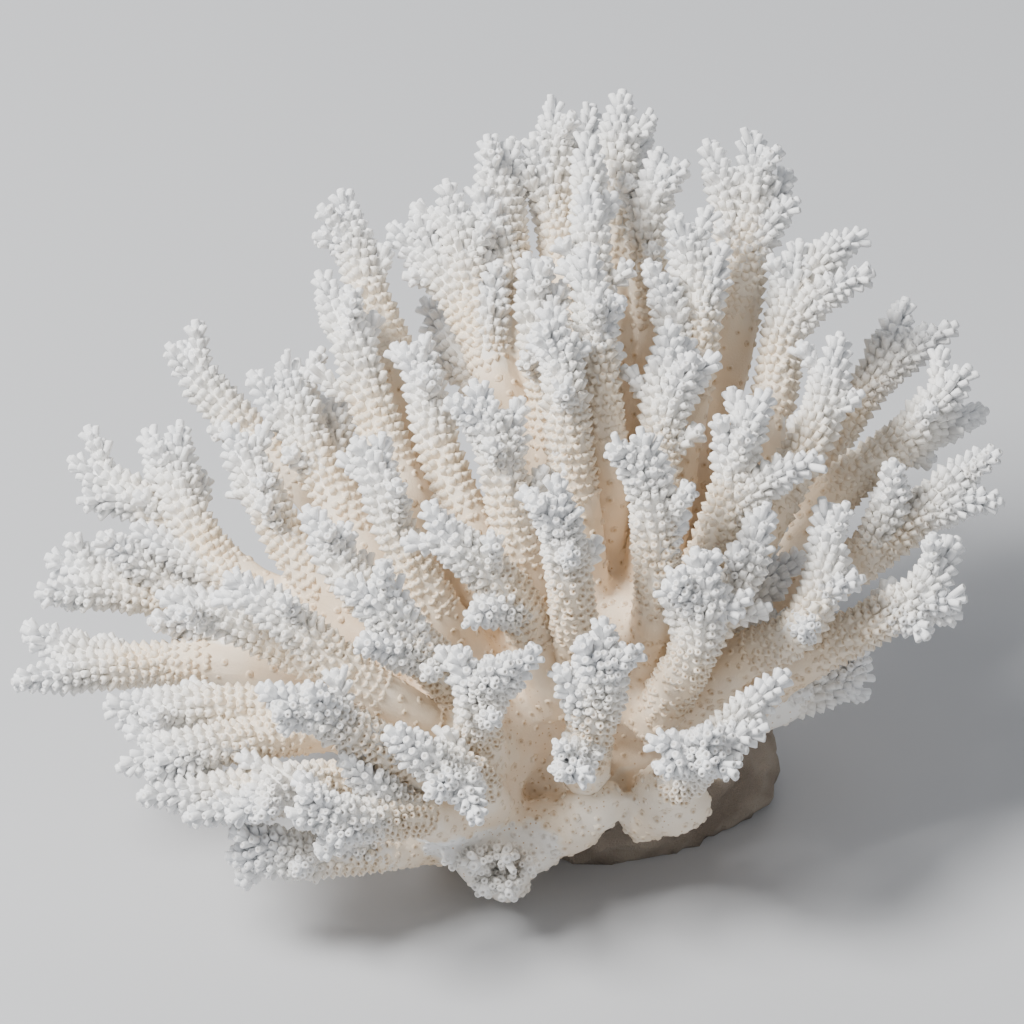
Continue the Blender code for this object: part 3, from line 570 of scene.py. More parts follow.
def limbRuns():
    # every stem, sprig, twig and shoot as a run: its piece, limb, fine path, distances from the tip and radii
    stems = {}
    runs = []
    for style in limbPieces:
        groupName = style["piece"]
        for name, parent, root, rootRadius, points, twigs in style["limbs"]:
            if parent == "holdfast":
                tail = []
                line = [place(root)]
            else:
                trunk = stems[parent]
                fork = round(root * (len(trunk) - 1))
                tail = list(trunk[max(0, fork - setOut["tailPoints"]):fork])
                line = [trunk[fork]]
            line += [place(point) for point in points]
            stems[name] = smoothPath(line, setOut["forkSpacing"])
            path = smoothPath(tail + line, setOut["fineSpacing"])
            main = makeRun(groupName, name, parent, path, rootRadius)
            runs += [main] + sprigRuns(main)
            runs += [twigRun(main, rootRadius, stems[name], share, tip) for share, tip in twigs]
    for number, (points, rootRadius, fadeFrom, fadeTo, years) in enumerate(holdfastStyle["shoots"]):
        path = smoothPath([place(point) for point in points], setOut["fineSpacing"])
        fade = (fadeFrom, fadeTo, holdfastStyle["shootBareRoot"])
        runs.append(makeRun("crown", f"shoot_{number}", "crown", path, rootRadius, fade=fade, years=years))
    return runs


def twigRun(main, rootRadius, stem, share, tip):
    number = round(share * (len(stem) - 1))
    begin = stem[number]
    end = place(tip)
    along = begin - stem[number - 1]
    along = along / np.linalg.norm(along)
    reach = np.linalg.norm(end - begin)
    bend = begin + (end - begin) * twigStyle["bendAt"] + along * reach * twigStyle["bendAlong"]
    stemRadius = float(fullRadius(pathLength(stem) * (1 - number / (len(stem) - 1)), rootRadius))
    path = smoothPath([begin, bend, end], setOut["fineSpacing"])
    return makeRun(main["group"], main["limb"], main["limb"], path, twigStyle["rootRadius"],
                   stemRadius * twigStyle["ofStem"])


def makeRun(groupName, name, parent, path, rootRadius, limit=math.inf, fade=limbStyle["fade"], years=0.0):
    # years makes a run look as old as if its tip were that many millimetres further out
    back = pathLength(path) * np.linspace(1.0, 0.0, len(path))
    shares = cupShares(path, back, fade)
    radii = np.minimum(fullRadius(back, rootRadius), limit) - limbStyle["cupRoom"] * shares
    return {
        "group": groupName,
        "limb": name,
        "parent": parent,
        "path": path,
        "back": back,
        "years": years,
        "shares": shares,
        "radii": np.maximum(radii, limbStyle["thinnest"]),
    }


def sprigRuns(stem):
    # short side shoots that turn round the stem from one to the next
    dice = random.Random("sprigs " + stem["limb"])
    path, back = stem["path"], stem["back"]
    along, side, other = frames(path)
    turn = dice.uniform(0, 2 * math.pi)
    distance = sprigStyle["from"] + dice.uniform(0, sprigStyle["firstSpread"])
    found = []
    while distance < min(sprigStyle["to"], back[0] - sprigStyle["offRoot"]):
        number = int(np.argmin(abs(back - distance)))
        lean = sprigStyle["lean"] + dice.uniform(-sprigStyle["leanSpread"], sprigStyle["leanSpread"])
        outward = side[number] * math.cos(turn) + other[number] * math.sin(turn)
        heading = along[number] * math.cos(lean) + outward * math.sin(lean)
        length = sprigStyle["length"] * dice.uniform(*sprigStyle["lengthSpread"])
        reach = (stem["radii"][number] + length) / math.sin(lean)
        bend = path[number] + heading * reach * sprigStyle["bendAt"]
        tip = path[number] + heading * reach + along[number] * reach * sprigStyle["bendAlong"]
        line = smoothPath([path[number], bend, tip], sprigStyle["fineSpacing"])
        thickness = sprigStyle["thickness"] * dice.uniform(*sprigStyle["thicknessSpread"])
        found.append(makeRun(stem["group"], stem["limb"], stem["limb"], line, sprigStyle["rootRadius"],
                             thickness, years=distance * sprigStyle["older"]))
        turn += sprigStyle["turn"] + dice.uniform(-sprigStyle["turnSpread"], sprigStyle["turnSpread"])
        distance += sprigStyle["spacing"] * dice.uniform(*sprigStyle["spacingSpread"])
    return found


def runStart(run):
    # the last point of a run that lies so deep in the crown that the run's blunt end stays hidden
    inside = np.flatnonzero(insideCrown(run["path"], run["radii"] + limbStyle["rootDepth"]))
    return inside[-1] if len(inside) else 0


def leavesCrown(run):
    inside = insideCrown(run["path"])
    return run["parent"] != "crown" and inside.any() and not inside[-1]


def cupRows(run, dice):
    # the cups on a run, in staggered rows down from its tip, each with what cupMesh needs of it
    path, back, radii, shares = run["path"], run["back"], run["radii"], run["shares"]
    along, side, other = frames(path)
    found = [{
        "centre": path[-1] - along[-1] * cupStyle["tipRoot"],
        "axis": along[-1],
        "outward": side[-1],
        "length": cupStyle["tipCupLength"],
        "size": cupStyle["tipCupRadius"] * dice.uniform(*cupStyle["tipSizeSpread"]),
        "shear": 0.0,
        "years": run["years"],
    }]
    row = 0
    distance = cupStyle["firstRow"]
    while distance < back[0] - cupStyle["lastRow"]:
        position = (back[0] - distance) / back[0] * (len(path) - 1)
        low = min(int(position), len(path) - 2)
        part = position - low
        centre = path[low] * (1 - part) + path[low + 1] * part
        radius = radii[low] * (1 - part) + radii[low + 1] * part
        share = shares[low] * (1 - part) + shares[low + 1] * part
        nearTip = math.exp(-(distance - cupStyle["firstRow"]) / cupStyle["tipReach"])
        girth = 2 * math.pi * (radius + cupStyle["rowRoom"])
        count = max(cupStyle["fewest"], round(girth / cupStyle["sideSpacing"]))
        turn = row * math.pi / count + dice.uniform(-cupStyle["turnSpread"], cupStyle["turnSpread"])
        row += 1
        for number in range(count if share >= cupStyle["shortest"] else 0):
            angle = (turn + number * 2 * math.pi / count
                     + dice.uniform(-cupStyle["angleSpread"], cupStyle["angleSpread"]))
            outward = side[low] * math.cos(angle) + other[low] * math.sin(angle)
            slant = (cupStyle["slant"] - cupStyle["tipSlant"] * nearTip - cupStyle["oldSlant"] * (1 - share)
                     + dice.uniform(-1, 1) * cupStyle["slantSpread"])
            length = ((cupStyle["length"] + cupStyle["tipLength"] * nearTip)
                      * (cupStyle["flushLength"] + (1 - cupStyle["flushLength"]) * share)
                      * dice.uniform(*cupStyle["lengthSpread"]))
            if distance < cupStyle["longWithin"] and dice.random() < cupStyle["longShare"]:
                length *= cupStyle["longer"]
            found.append({
                "centre": (centre + outward * (radius - cupStyle["sink"] * (1 - share))
                           + along[low] * dice.uniform(-cupStyle["alongSpread"], cupStyle["alongSpread"])),
                "axis": along[low] * math.cos(slant) + outward * math.sin(slant),
                "outward": outward,
                "length": length,
                "size": (cupStyle["radius"] * (cupStyle["oldRadius"] - cupStyle["oldRadiusFade"] * share)
                         * dice.uniform(*cupStyle["sizeSpread"])),
                "shear": cupStyle["shear"] - cupStyle["tipShear"] * nearTip,
                "years": distance + run["years"],
            })
        distance += cupStyle["rowSpacing"] * dice.uniform(*cupStyle["rowSpread"])
    return found


# Each kind of cup as rings from its root to the lip: where the ring is measured from and how far below that,
# its width, its share of the shear, and how deep in the cup's hole it is, for the shade painted there. Widths
# and heights are shares.
cupKinds = {
    "round": [("root", 1.0, 1.08, 0.0, 0.0), ("lip", 0.42, 1.0, 0.9, 0.0), ("lip", 0.04, 0.76, 0.9, 0.0),
              ("lip", 0.12, 0.42, 0.7, 0.45)],
    "plain": [("root", 1.0, 1.08, 0.0, 0.0), ("lip", 0.16, 0.93, 0.9, 0.0), ("lip", 0.12, 0.45, 0.7, 0.4)],
    "pore": [("root", 0.5, 1.45, 0.0, 0.0), ("lip", 0.0, 0.66, 0.0, 0.1)],
}

# Kind, shortest length and sides, from the long cups near a tip to those that lie half sunk.
cupTiers = [("round", 1.8, 7), ("plain", 1.1, 6), ("plain", 0.45, 5), ("pore", 0.0, 6)]


def cupMesh(cups, sides, kind):
    # closed tubes with a blunt lip and a hole, whose outer side stands higher by the shear
    centres = np.array([cup["centre"] for cup in cups])
    axes = np.array([cup["axis"] for cup in cups])
    outwards = np.array([cup["outward"] for cup in cups])
    lengths, sizes, shears, years = (np.array([cup[key] for cup in cups])
                                     for key in ("length", "size", "shear", "years"))
    axes /= np.linalg.norm(axes, axis=1)[:, None]
    first = outwards - axes * (outwards * axes).sum(1)[:, None]
    first /= np.linalg.norm(first, axis=1)[:, None]
    second = np.cross(axes, first)
    hole = np.minimum(cupStyle["deepestHole"], lengths * cupStyle["holeShare"] + cupStyle["holeExtra"])
    hole = np.minimum(hole, lengths - cupStyle["holeFloor"])
    root = np.full(len(cups), -cupStyle["root"])
    rings = cupKinds[kind]
    angles = np.arange(sides) * 2 * math.pi / sides
    circle = (first[:, None] * np.cos(angles)[None, :, None]
              + second[:, None] * np.sin(angles)[None, :, None])
    layers = []
    # how deep each point lies in its cup's hole, which sets the shade painted there
    hollowShades = []
    for start, down, share, slope, hollowShade in rings:
        height = root * down if start == "root" else lengths - sizes * down
        heights = height[:, None] + (sizes * shears * slope)[:, None] * np.cos(angles)[None, :]
        layers.append(centres[:, None] + axes[:, None] * heights[:, :, None]
                      + circle * (sizes * share)[:, None, None])
        hollowShades.append(np.full((len(cups), sides), hollowShade))
    layers.append((centres + axes * (lengths - hole)[:, None])[:, None])
    hollowShades.append(np.ones((len(cups), 1)))
    points = np.concatenate(layers, axis=1).reshape(-1, 3)
    hollowShades = np.concatenate(hollowShades, axis=1).reshape(-1)
    each = sides * len(rings) + 1
    template = []
    for ring in range(len(rings) - 1):
        for number in range(sides):
            near = ring * sides + number
            far = ring * sides + (number + 1) % sides
            template.append((near, far, far + sides, near + sides))
    last = (len(rings) - 1) * sides
    template += [(last + number, last + (number + 1) % sides, each - 1) for number in range(sides)]
    template.append(tuple(reversed(range(sides))))
    faces = []
    for number in range(len(cups)):
        offset = number * each
        faces += [tuple(corner + offset for corner in face) for face in template]
    ages = np.repeat(ageOf(years), each)
    return points, faces, ages, hollowShades, np.zeros(len(points)), np.zeros(len(points))


def ageOf(back):
    # 0 at a fresh tip, 1 in the oldest skeleton
    return smoothStep(back, *limbStyle["ageing"])


def addPiece(name, parts, nodes, material):
    # one piece from parts of points, faces, ages, painted shade in the holes, bareness (0 on cups) and stone
    points, faces = joined([part[:2] for part in parts])
    mesh = bpy.data.meshes.new(name)
    mesh.from_pydata((points * mm).tolist(), [], faces)
    for attributeName, column in (("age", 2), ("hollowShade", 3), ("bare", 4), ("stone", 5)):
        values = np.concatenate([part[column] for part in parts]).astype(np.float32)
        mesh.attributes.new(attributeName, "FLOAT", "POINT").data.foreach_set("value", values)
    mesh.polygons.foreach_set("use_smooth", np.ones(len(mesh.polygons), bool))
    mesh.materials.append(material)
    piece = addObject(name, mesh)
    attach(piece, "root")
    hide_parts(*nodes)
    triangles = sum(len(face) - 2 for face in faces)
    print(f"{name}: {triangles} triangles")
    return triangles


def newGroup(name, inputs, outputs):
    # a shader node group whose sockets all take numbers
    group = bpy.data.node_groups.new(name, "ShaderNodeTree")
    for socketName, value in inputs.items():
        socket = group.interface.new_socket(name=socketName, in_out="INPUT", socket_type="NodeSocketFloat")
        socket.default_value = value
    for socketName in outputs:
        group.interface.new_socket(name=socketName, in_out="OUTPUT", socket_type="NodeSocketFloat")
    return group, group.nodes.new("NodeGroupInput"), group.nodes.new("NodeGroupOutput")


def feed(tree, socket, value):
    # sets a socket to a number or a colour, or links it to another socket
    if isinstance(value, (int, float)):
        socket.default_value = value
    elif isinstance(value, tuple):
        socket.default_value = (*value, 1.0)
    else:
        tree.links.new(value, socket)


def mathNode(tree, operation, first, second):
    node = tree.nodes.new("ShaderNodeMath")
    node.operation = operation
    feed(tree, node.inputs[0], first)
    feed(tree, node.inputs[1], second)
    return node.outputs[0]


def rangeNode(tree, value, fromLow, fromHigh, toLow=0.0, toHigh=1.0):
    node = tree.nodes.new("ShaderNodeMapRange")
    node.interpolation_type = "SMOOTHSTEP"
    for socketName, number in zip(("Value", "From Min", "From Max", "To Min", "To Max"),
                                  (value, fromLow, fromHigh, toLow, toHigh)):
        feed(tree, node.inputs[socketName], number)
    return node.outputs[0]


def mixNode(tree, factor, first, second):
    node = tree.nodes.new("ShaderNodeMix")
    node.data_type = "RGBA"
    for socketName, value in zip(("Factor_Float", "A_Color", "B_Color"), (factor, first, second)):
        socket = next(socket for socket in node.inputs if socket.identifier == socketName)
        feed(tree, socket, value)
    return node.outputs[2]


def objectPoint(tree):
    return tree.nodes.new("ShaderNodeTexCoord").outputs["Object"]


# The effects that materials share.
groupStyle = {
    "poreRandomness": 0.62,
    "poreEdge": (0.75, 1.15),  # of the radius, where a pore ends
    "grainDetail": 1.0,
    "patchDetail": 2.0,
}


def roundPoresGroup():
    # the finest round pores, between those that are shaped, as a mask for their painted shade
    group, inside, outside = newGroup("roundPores", {"Spacing mm": 1.35, "Radius mm": 0.34}, ["Mask"])
    spacing, radius = inside.outputs["Spacing mm"], inside.outputs["Radius mm"]
    voronoi = group.nodes.new("ShaderNodeTexVoronoi")
    voronoi.inputs["Randomness"].default_value = groupStyle["poreRandomness"]
    group.links.new(objectPoint(group), voronoi.inputs["Vector"])
    group.links.new(mathNode(group, "DIVIDE", 1 / mm, spacing), voronoi.inputs["Scale"])
    distance = mathNode(group, "MULTIPLY", voronoi.outputs["Distance"], spacing)
    near, far = (mathNode(group, "MULTIPLY", radius, share) for share in groupStyle["poreEdge"])
    group.links.new(rangeNode(group, distance, near, far, 1.0, 0.0), outside.inputs["Mask"])
    return group


def chalkGrainGroup():
    # fine granular skeleton: a mottling value and a height
    group, inside, outside = newGroup("chalkGrain", {"Grain mm": 0.35, "Patch mm": 7.0}, ["Mottle", "Height"])
    point = objectPoint(group)
    for sizeName, detail, result in (("Grain mm", groupStyle["grainDetail"], "Height"),
                                     ("Patch mm", groupStyle["patchDetail"], "Mottle")):
        texture = group.nodes.new("ShaderNodeTexNoise")
        texture.inputs["Detail"].default_value = detail
        group.links.new(point, texture.inputs["Vector"])
        group.links.new(mathNode(group, "DIVIDE", 1 / mm, inside.outputs[sizeName]), texture.inputs["Scale"])
        group.links.new(texture.outputs["Fac"], outside.inputs[result])
    return group


skeletonFinish = {
    "tip": (0.90, 0.91, 0.925),
    "young": (0.93, 0.91, 0.87),
    "middle": (0.91, 0.81, 0.67),
    "old": (0.85, 0.68, 0.49),
    "stages": [("young", 0.0, 0.16), ("middle", 0.14, 0.5), ("old", 0.55, 1.0)],  # colour, and ages
    # painted shade inside the cups' holes: grey in young cups, warm brown in old skeleton
    "youngHollowShade": (0.70, 0.67, 0.62),
    "oldHollowShade": (0.54, 0.36, 0.19),
    "hollowShadeAges": (0.1, 0.45),
    "mottle": (0.3, 0.7, 0.0, 0.25),
    # painted shade in the fine pores
    "poreShadeColour": (0.62, 0.44, 0.27),
    "roughness": 0.66,
    "specular": 0.35,
    "bump": 0.0001,
    "bumpStrength": 0.8,
    "grain": {"Grain mm": 0.35, "Patch mm": 8.0},
    "finePores": {"Spacing mm": 1.3, "Radius mm": 0.2},
}

stoneFinish = {
    "low": (0.34, 0.285, 0.23),
    "stain": (0.20, 0.16, 0.125),
    "stainEdge": (0.4, 0.65),
    "wander": 1.1,  # how far the mottling moves the stone's upper edge
    "edge": (0.3, 0.8),
    "relief": 5.0,  # times the bump of clean skeleton
    "grain": {"Grain mm": 1.2, "Patch mm": 15.0},
}


def placeGroup(tree, group, values):
    node = tree.nodes.new("ShaderNodeGroup")
    node.node_tree = group
    for socketName, value in values.items():
        node.inputs[socketName].default_value = value
    return node


def attributeValue(tree, name):
    node = tree.nodes.new("ShaderNodeAttribute")
    node.attribute_type = "GEOMETRY"
    node.attribute_name = name
    return node.outputs["Fac"]


def skeletonMaterial(name, grainGroup, poreGroup=None):
    # chalky skeleton, white at the tips and cream lower down; with pores it has the foot's worn stone too
    material = bpy.data.materials.new(name)
    material.use_nodes = True
    tree = material.node_tree
    shader = tree.nodes["Principled BSDF"]
    age = attributeValue(tree, "age")
    grain = placeGroup(tree, grainGroup, skeletonFinish["grain"])
    height = grain.outputs["Height"]
    colour = skeletonFinish["tip"]
    for stage, fromAge, toAge in skeletonFinish["stages"]:
        colour = mixNode(tree, rangeNode(tree, age, fromAge, toAge), colour, skeletonFinish[stage])
    mottle = rangeNode(tree, grain.outputs["Mottle"], *skeletonFinish["mottle"])
    colour = mixNode(tree, mottle, colour, skeletonFinish["young"])
    if poreGroup:
        # the fine pores are painted as darker dots, their shade painted in
        pores = placeGroup(tree, poreGroup, skeletonFinish["finePores"])
        poreShadeMask = mathNode(tree, "MULTIPLY", pores.outputs["Mask"], attributeValue(tree, "bare"))
        colour = mixNode(tree, poreShadeMask, colour, skeletonFinish["poreShadeColour"])
        offMiddle = mathNode(tree, "SUBTRACT", grain.outputs["Mottle"], 0.5)
        wander = mathNode(tree, "MULTIPLY", offMiddle, stoneFinish["wander"])
        level = mathNode(tree, "ADD", attributeValue(tree, "stone"), wander)
        worn = rangeNode(tree, level, *stoneFinish["edge"])
        patches = placeGroup(tree, grainGroup, stoneFinish["grain"])
        stain = rangeNode(tree, patches.outputs["Mottle"], *stoneFinish["stainEdge"])
        colour = mixNode(tree, worn, colour, mixNode(tree, stain, stoneFinish["low"], stoneFinish["stain"]))
        relief = rangeNode(tree, worn, 0.0, 1.0, 1.0, stoneFinish["relief"])
        height = mathNode(tree, "MULTIPLY", height, relief)
    # painted shade inside the cups' holes, grey in young cups and warm brown in old skeleton
    hollowShadeColour = mixNode(tree, rangeNode(tree, age, *skeletonFinish["hollowShadeAges"]),
                           skeletonFinish["youngHollowShade"], skeletonFinish["oldHollowShade"])
    colour = mixNode(tree, attributeValue(tree, "hollowShade"), colour, hollowShadeColour)
    tree.links.new(colour, shader.inputs["Base Color"])
    shader.inputs["Roughness"].default_value = skeletonFinish["roughness"]
    shader.inputs["Specular IOR Level"].default_value = skeletonFinish["specular"]
    bump = tree.nodes.new("ShaderNodeBump")
    bump.inputs["Strength"].default_value = skeletonFinish["bumpStrength"]
    bump.inputs["Distance"].default_value = skeletonFinish["bump"]
    tree.links.new(height, bump.inputs["Height"])
    tree.links.new(bump.outputs["Normal"], shader.inputs["Normal"])
    return material


poreGroup = roundPoresGroup()
grainGroup = chalkGrainGroup()
limbMaterial = skeletonMaterial("coralSkeleton", grainGroup)
crownMaterial = skeletonMaterial("coralCrown", grainGroup, poreGroup)
print("materials made")

runs = limbRuns()
print(f"{len(runs)} stems, twigs and sprigs set out")

sampleCount = sum(len(run["path"]) for run in runs)
tree = KDTree(sampleCount)
sampleBack = []
sampleRadius = []
sampleShare = []
sampleRun = []
for runNumber, run in enumerate(runs):
    for point, back, radius, share in zip(run["path"], run["back"], run["radii"], run["shares"]):
        tree.insert(point, len(sampleBack))
        sampleBack.append(back + run["years"])
        sampleRadius.append(radius)
        sampleShare.append(share)
        sampleRun.append(runNumber)
tree.balance()


def barePart(points, faces, stone):
    # a skin for addPiece, as old at each point as the nearest run there
    ages = ageOf(np.array([sampleBack[tree.find(point)[1]] for point in points]))
    return points, faces, ages, np.zeros(len(points)), np.ones(len(points)), stone


def buried(point, runNumber):
    # True inside another limb
    for _, sample, distance in tree.find_range(point, limbStyle["reach"]):
        if sampleRun[sample] != runNumber and distance < sampleRadius[sample] - limbStyle["buriedBy"]:
            return True
    return False


def groupCups(groupName):
    kept = []
    for runNumber, run in enumerate(runs):
        if run["group"] != groupName:
            continue
        dice = random.Random(f"{run['limb']} {runNumber}")
        cups = cupRows(run, dice)
        ends = np.array([cup["centre"] + cup["axis"] * cup["length"] * cupStyle["endShare"] for cup in cups])
        covered = insideCrown(ends)
        for cup, end, hidden in zip(cups, ends, covered):
            if not hidden and not buried(end, runNumber):
                kept.append(cup)
    return kept


def cupParts(cups):
    found = []
    longest = math.inf
    for kind, shortest, sides in cupTiers:
        some = [cup for cup in cups if shortest <= cup["length"] < longest]
        if some:
            found.append(cupMesh(some, sides, kind))
        longest = shortest
    return found


poreStyle = {
    "closest": 1.8,
    "furthest": 2.8,
    "fieldSize": 13.0,  # across the fields where they lie close together
    "length": 0.34,
    "size": 0.74,
    "lowest": 4.0,  # height above the foot
    "shareBelow": 0.16,  # of the cups, where the limbs have none left
    "cupReach": 1.5,  # how far out from a limb's core its cups are
    "fieldEdge": (-0.1, 0.12),  # noise values between which a field of them begins
    "sink": 0.04,
    "sideHint": (0.31, 0.53, 0.79),
    "lengthSpread": (0.7, 1.3),
    "sizeSpread": (0.82, 1.15),
}


def poreCups(points, normals, name):
    # low pores with raised rims over bare skeleton, close together in some fields
    dice = random.Random("pores " + name)
    order = list(range(len(points)))
    dice.shuffle(order)
    cells = {}
    found = []
    for number in order:
        point = points[number]
        _, nearest, distance = tree.find(point)
        onCups = (sampleShare[nearest] > poreStyle["shareBelow"]
                  and distance < sampleRadius[nearest] + poreStyle["cupReach"])
        if point[2] < poreStyle["lowest"] or onCups:
            continue
        field = noise.noise(Vector(point) / poreStyle["fieldSize"])
        near = float(smoothStep(field, *poreStyle["fieldEdge"]))
        gap = poreStyle["furthest"] + (poreStyle["closest"] - poreStyle["furthest"]) * near
        cell = tuple(int(value // poreStyle["furthest"]) for value in point)
        around = [cells.get((cell[0] + i, cell[1] + j, cell[2] + k), ())
                  for i in (-1, 0, 1) for j in (-1, 0, 1) for k in (-1, 0, 1)]
        if any(((point - other) ** 2).sum() < gap * gap for others in around for other in others):
            continue
        cells.setdefault(cell, []).append(point)
        normal = normals[number].astype(float)
        found.append({
            "centre": point - normal * poreStyle["sink"],
            "axis": normal,
            "outward": np.cross(normal, poreStyle["sideHint"]),
            "length": poreStyle["length"] * dice.uniform(*poreStyle["lengthSpread"]),
            "size": poreStyle["size"] * dice.uniform(*poreStyle["sizeSpread"]),
            "shear": 0.0,
            "years": sampleBack[nearest],
        })
    return found


total = 0
totalCups = 0
for style in limbPieces:
    groupName = style["piece"]
    tubes = []
    for run in runs:
        if run["group"] == groupName:
            first = runStart(run) if leavesCrown(run) else 0
            tubes.append(tubeMesh(run["path"][first:], run["radii"][first:]))
    points, normals, faces = skinned(tubes, limbStyle["voxel"], limbStyle["keepShare"])
    points = uneven(points, normals, limbStyle["unevenness"], limbStyle["swellSize"])
    core = barePart(points, faces, np.zeros(len(points)))
    bare = ~insideCrown(points, -limbStyle["offCrown"])
    cups = groupCups(groupName) + poreCups(points[bare], normals[bare], groupName)
    totalCups += len(cups)
    total += addPiece(groupName, [core] + cupParts(cups), [limb[0] for limb in style["limbs"]],
                      limbMaterial)


def crownLump(centre, half):
    mesh = bmesh.new()
    bmesh.ops.create_icosphere(mesh, subdivisions=holdfastStyle["lumpDetail"], radius=1.0)
    points, faces = bmeshArrays(mesh)
    return points * half + np.array(centre) + (*setOut["shift"], 0.0), faces


def bmeshArrays(mesh):
    # the points and faces of a bmesh, which is freed
    mesh.verts.index_update()
    points = np.array([vertex.co[:] for vertex in mesh.verts])
    faces = [tuple(vertex.index for vertex in face.verts) for face in mesh.faces]
    mesh.free()
    return points, faces


def flatFoot(points, faces):
    # cuts everything under the resting level away and closes the cut
    mesh = bmesh.new()
    for point in points:
        mesh.verts.new(point)
    mesh.verts.ensure_lookup_table()
    for face in faces:
        mesh.faces.new([mesh.verts[corner] for corner in face])
    geometry = list(mesh.verts) + list(mesh.edges) + list(mesh.faces)
    cut = bmesh.ops.bisect_plane(mesh, geom=geometry, dist=holdfastStyle["cutTolerance"],
                                 plane_co=(0, 0, 0), plane_no=(0, 0, 1), clear_inner=True)
    edges = [item for item in cut["geom_cut"] if isinstance(item, bmesh.types.BMEdge)]
    bmesh.ops.triangle_fill(mesh, edges=edges, use_beauty=True)
    bmesh.ops.recalc_face_normals(mesh, faces=mesh.faces)
    return bmeshArrays(mesh)


def stoneShare(points):
    # 1 on the worn stone, 0 on clean skeleton, which also covers the lumps in front of the stone
    top = holdfastStyle["stoneTop"]
    low = 1.0 - smoothStep(points[:, 2], top - holdfastStyle["stoneFade"], top)
    across = points[:, 0] - setOut["shift"][0]
    front = points[:, 1] - setOut["shift"][1] + holdfastStyle["stoneTurn"] * across
    return low * smoothStep(front, *holdfastStyle["stoneFront"])


def stubOf(run):
    # the crown's skin round the lower end of a limb, first over the limb's core and then thinning into it
    first = runStart(run)
    out = np.flatnonzero(insideCrown(run["path"]))[-1]
    last = min(len(run["path"]) - 1, out + round(holdfastStyle["stubLength"] / setOut["fineSpacing"]))
    over = np.interp(np.arange(first, last), (out - holdfastStyle["stubBefore"], last),
                     (holdfastStyle["stubOver"], -holdfastStyle["stubUnder"]))
    return tubeMesh(run["path"][first:last], run["radii"][first:last] + over)


shapes = [crownLump(centre, half) for centre, half in holdfastStyle["lumps"]]
for run in runs:
    if run["parent"] == "crown":
        shapes.append(tubeMesh(run["path"], np.maximum(run["radii"], holdfastStyle["shootThinnest"])))
    if leavesCrown(run):
        shapes.append(stubOf(run))
points, normals, faces = skinned(shapes, holdfastStyle["voxel"], holdfastStyle["keepShare"])
points = uneven(points, normals, holdfastStyle["unevenness"], holdfastStyle["swellSize"])
points = uneven(points, normals, holdfastStyle["fineUnevenness"], holdfastStyle["fineSwellSize"])
points = uneven(points, normals * stoneShare(points)[:, None], holdfastStyle["stoneRoughness"],
                holdfastStyle["stoneSwellSize"])
clear = [sampleRadius[nearest] < distance for _, nearest, distance in map(tree.find, points)]
clear = np.array(clear) & (stoneShare(points) < holdfastStyle["poresUpTo"])
pores = poreCups(points[clear], normals[clear], "crown")
points, faces = flatFoot(points, faces)
crown = barePart(points, faces, stoneShare(points))
cups = groupCups("crown") + pores
totalCups += len(cups)
total += addPiece("crown_and_holdfast", [crown] + cupParts(cups), ["holdfast"],
                  crownMaterial)
print(f"{totalCups} cups, {total} triangles in all")

stageStyle = {
    "floorSize": 6.0,
    "floorColour": (0.50, 0.51, 0.53),
    "floorDarker": 0.96,
    "floorGrain": {"Grain mm": 3.0, "Patch mm": 300.0},
    "floorRoughness": 0.9,
    "floorSpecular": 0.15,
    "world": (0.90, 0.94, 1.0),
    "worldStrength": 0.3,
    "lights": {  # position, the point it aims at, size, power and colour
        "keyLight": ((-0.75, -0.25, 1.05), (0, 0, 0.06), 0.5, 38.0, (1.0, 0.985, 0.96)),
        "fillLight": ((0.9, -0.9, 0.7), (0, 0, 0.05), 1.0, 3.0, (1.0, 0.97, 0.93)),
        "backLight": ((0.1, 1.1, 0.8), (0, 0, 0.06), 0.8, 5.0, (0.95, 0.97, 1.0)),
    },
}


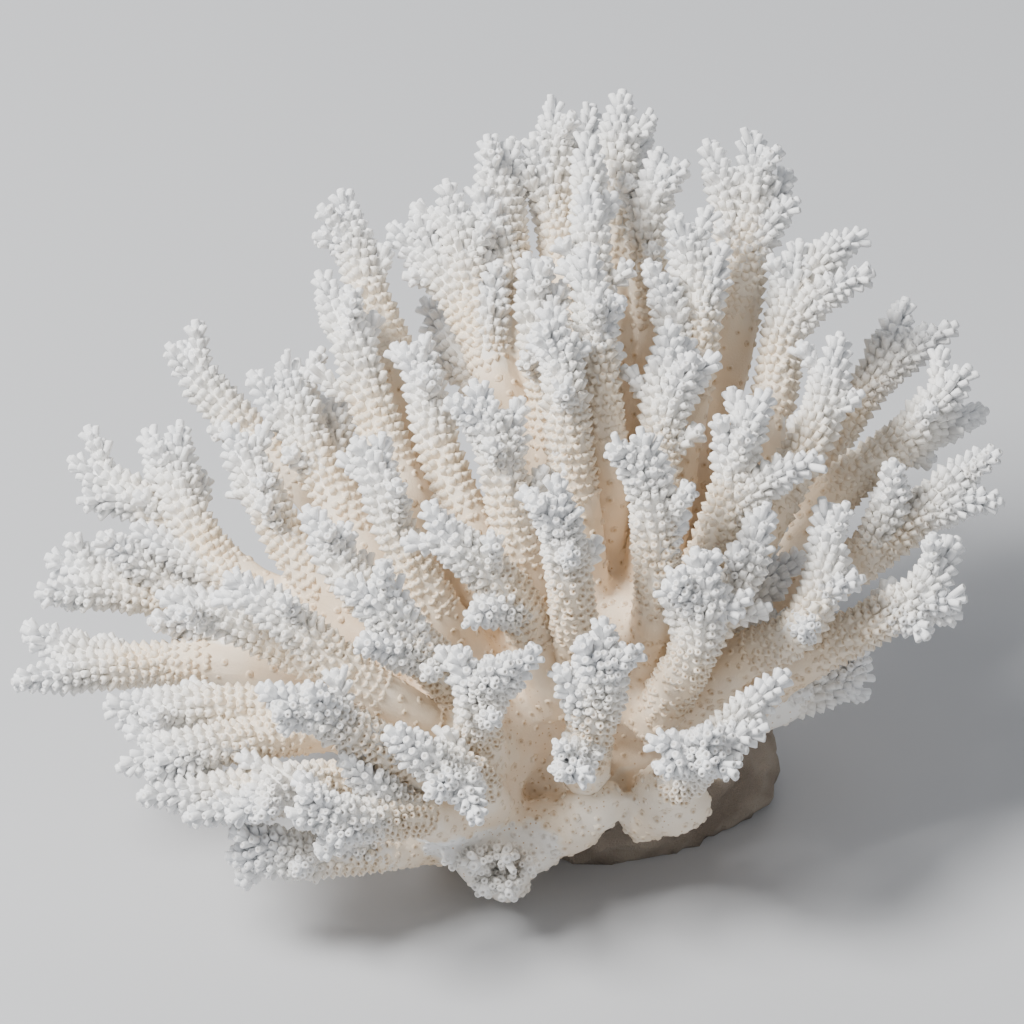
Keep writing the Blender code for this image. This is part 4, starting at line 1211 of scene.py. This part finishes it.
def makeFloor():
    mesh = bmesh.new()
    bmesh.ops.create_grid(mesh, x_segments=8, y_segments=8, size=stageStyle["floorSize"] / 2)
    data = bpy.data.meshes.new("floor")
    mesh.to_mesh(data)
    mesh.free()
    floor = addObject("floor", data)
    material = bpy.data.materials.new("paleFloor")
    material.use_nodes = True
    tree = material.node_tree
    shader = tree.nodes["Principled BSDF"]
    grain = placeGroup(tree, grainGroup, stageStyle["floorGrain"])
    darker = tuple(value * stageStyle["floorDarker"] for value in stageStyle["floorColour"])
    tree.links.new(mixNode(tree, grain.outputs["Mottle"], stageStyle["floorColour"], darker),
                   shader.inputs["Base Color"])
    shader.inputs["Roughness"].default_value = stageStyle["floorRoughness"]
    shader.inputs["Specular IOR Level"].default_value = stageStyle["floorSpecular"]
    data.materials.append(material)


def addSoftLight(name, position, target, size, power, colour):
    light = bpy.data.lights.new(name, "AREA")
    light.shape = "DISK"
    light.size = size
    light.energy = power
    light.color = colour
    lamp = addObject(name, light)
    lamp.location = position
    lamp.rotation_euler = (Vector(target) - Vector(position)).to_track_quat("-Z", "Y").to_euler()


makeFloor()
for name, values in stageStyle["lights"].items():
    addSoftLight(name, *values)

world = bpy.data.worlds.new("studio")
world.use_nodes = True
background = world.node_tree.nodes["Background"]
background.inputs["Color"].default_value = (*stageStyle["world"], 1.0)
background.inputs["Strength"].default_value = stageStyle["worldStrength"]
bpy.context.scene.world = world

cameraStyle = {"distance": 0.95, "across": 204.8, "sensor": 36.0, "clipEnd": 20.0}
cameraData = bpy.data.cameras.new("camera")
cameraData.sensor_width = cameraStyle["sensor"]
cameraData.lens = cameraStyle["sensor"] * cameraStyle["distance"] / (cameraStyle["across"] * mm)
cameraData.clip_end = cameraStyle["clipEnd"]
camera = addObject("camera", cameraData)
aim = Vector(place((*setOut["centre"], 0)) * mm)
toward = Vector((0, -math.cos(setOut["lean"]), math.sin(setOut["lean"])))
camera.location = aim + toward * cameraStyle["distance"]
camera.rotation_euler = (-toward).to_track_quat("-Z", "Y").to_euler()
bpy.context.scene.camera = camera
print("stage set")
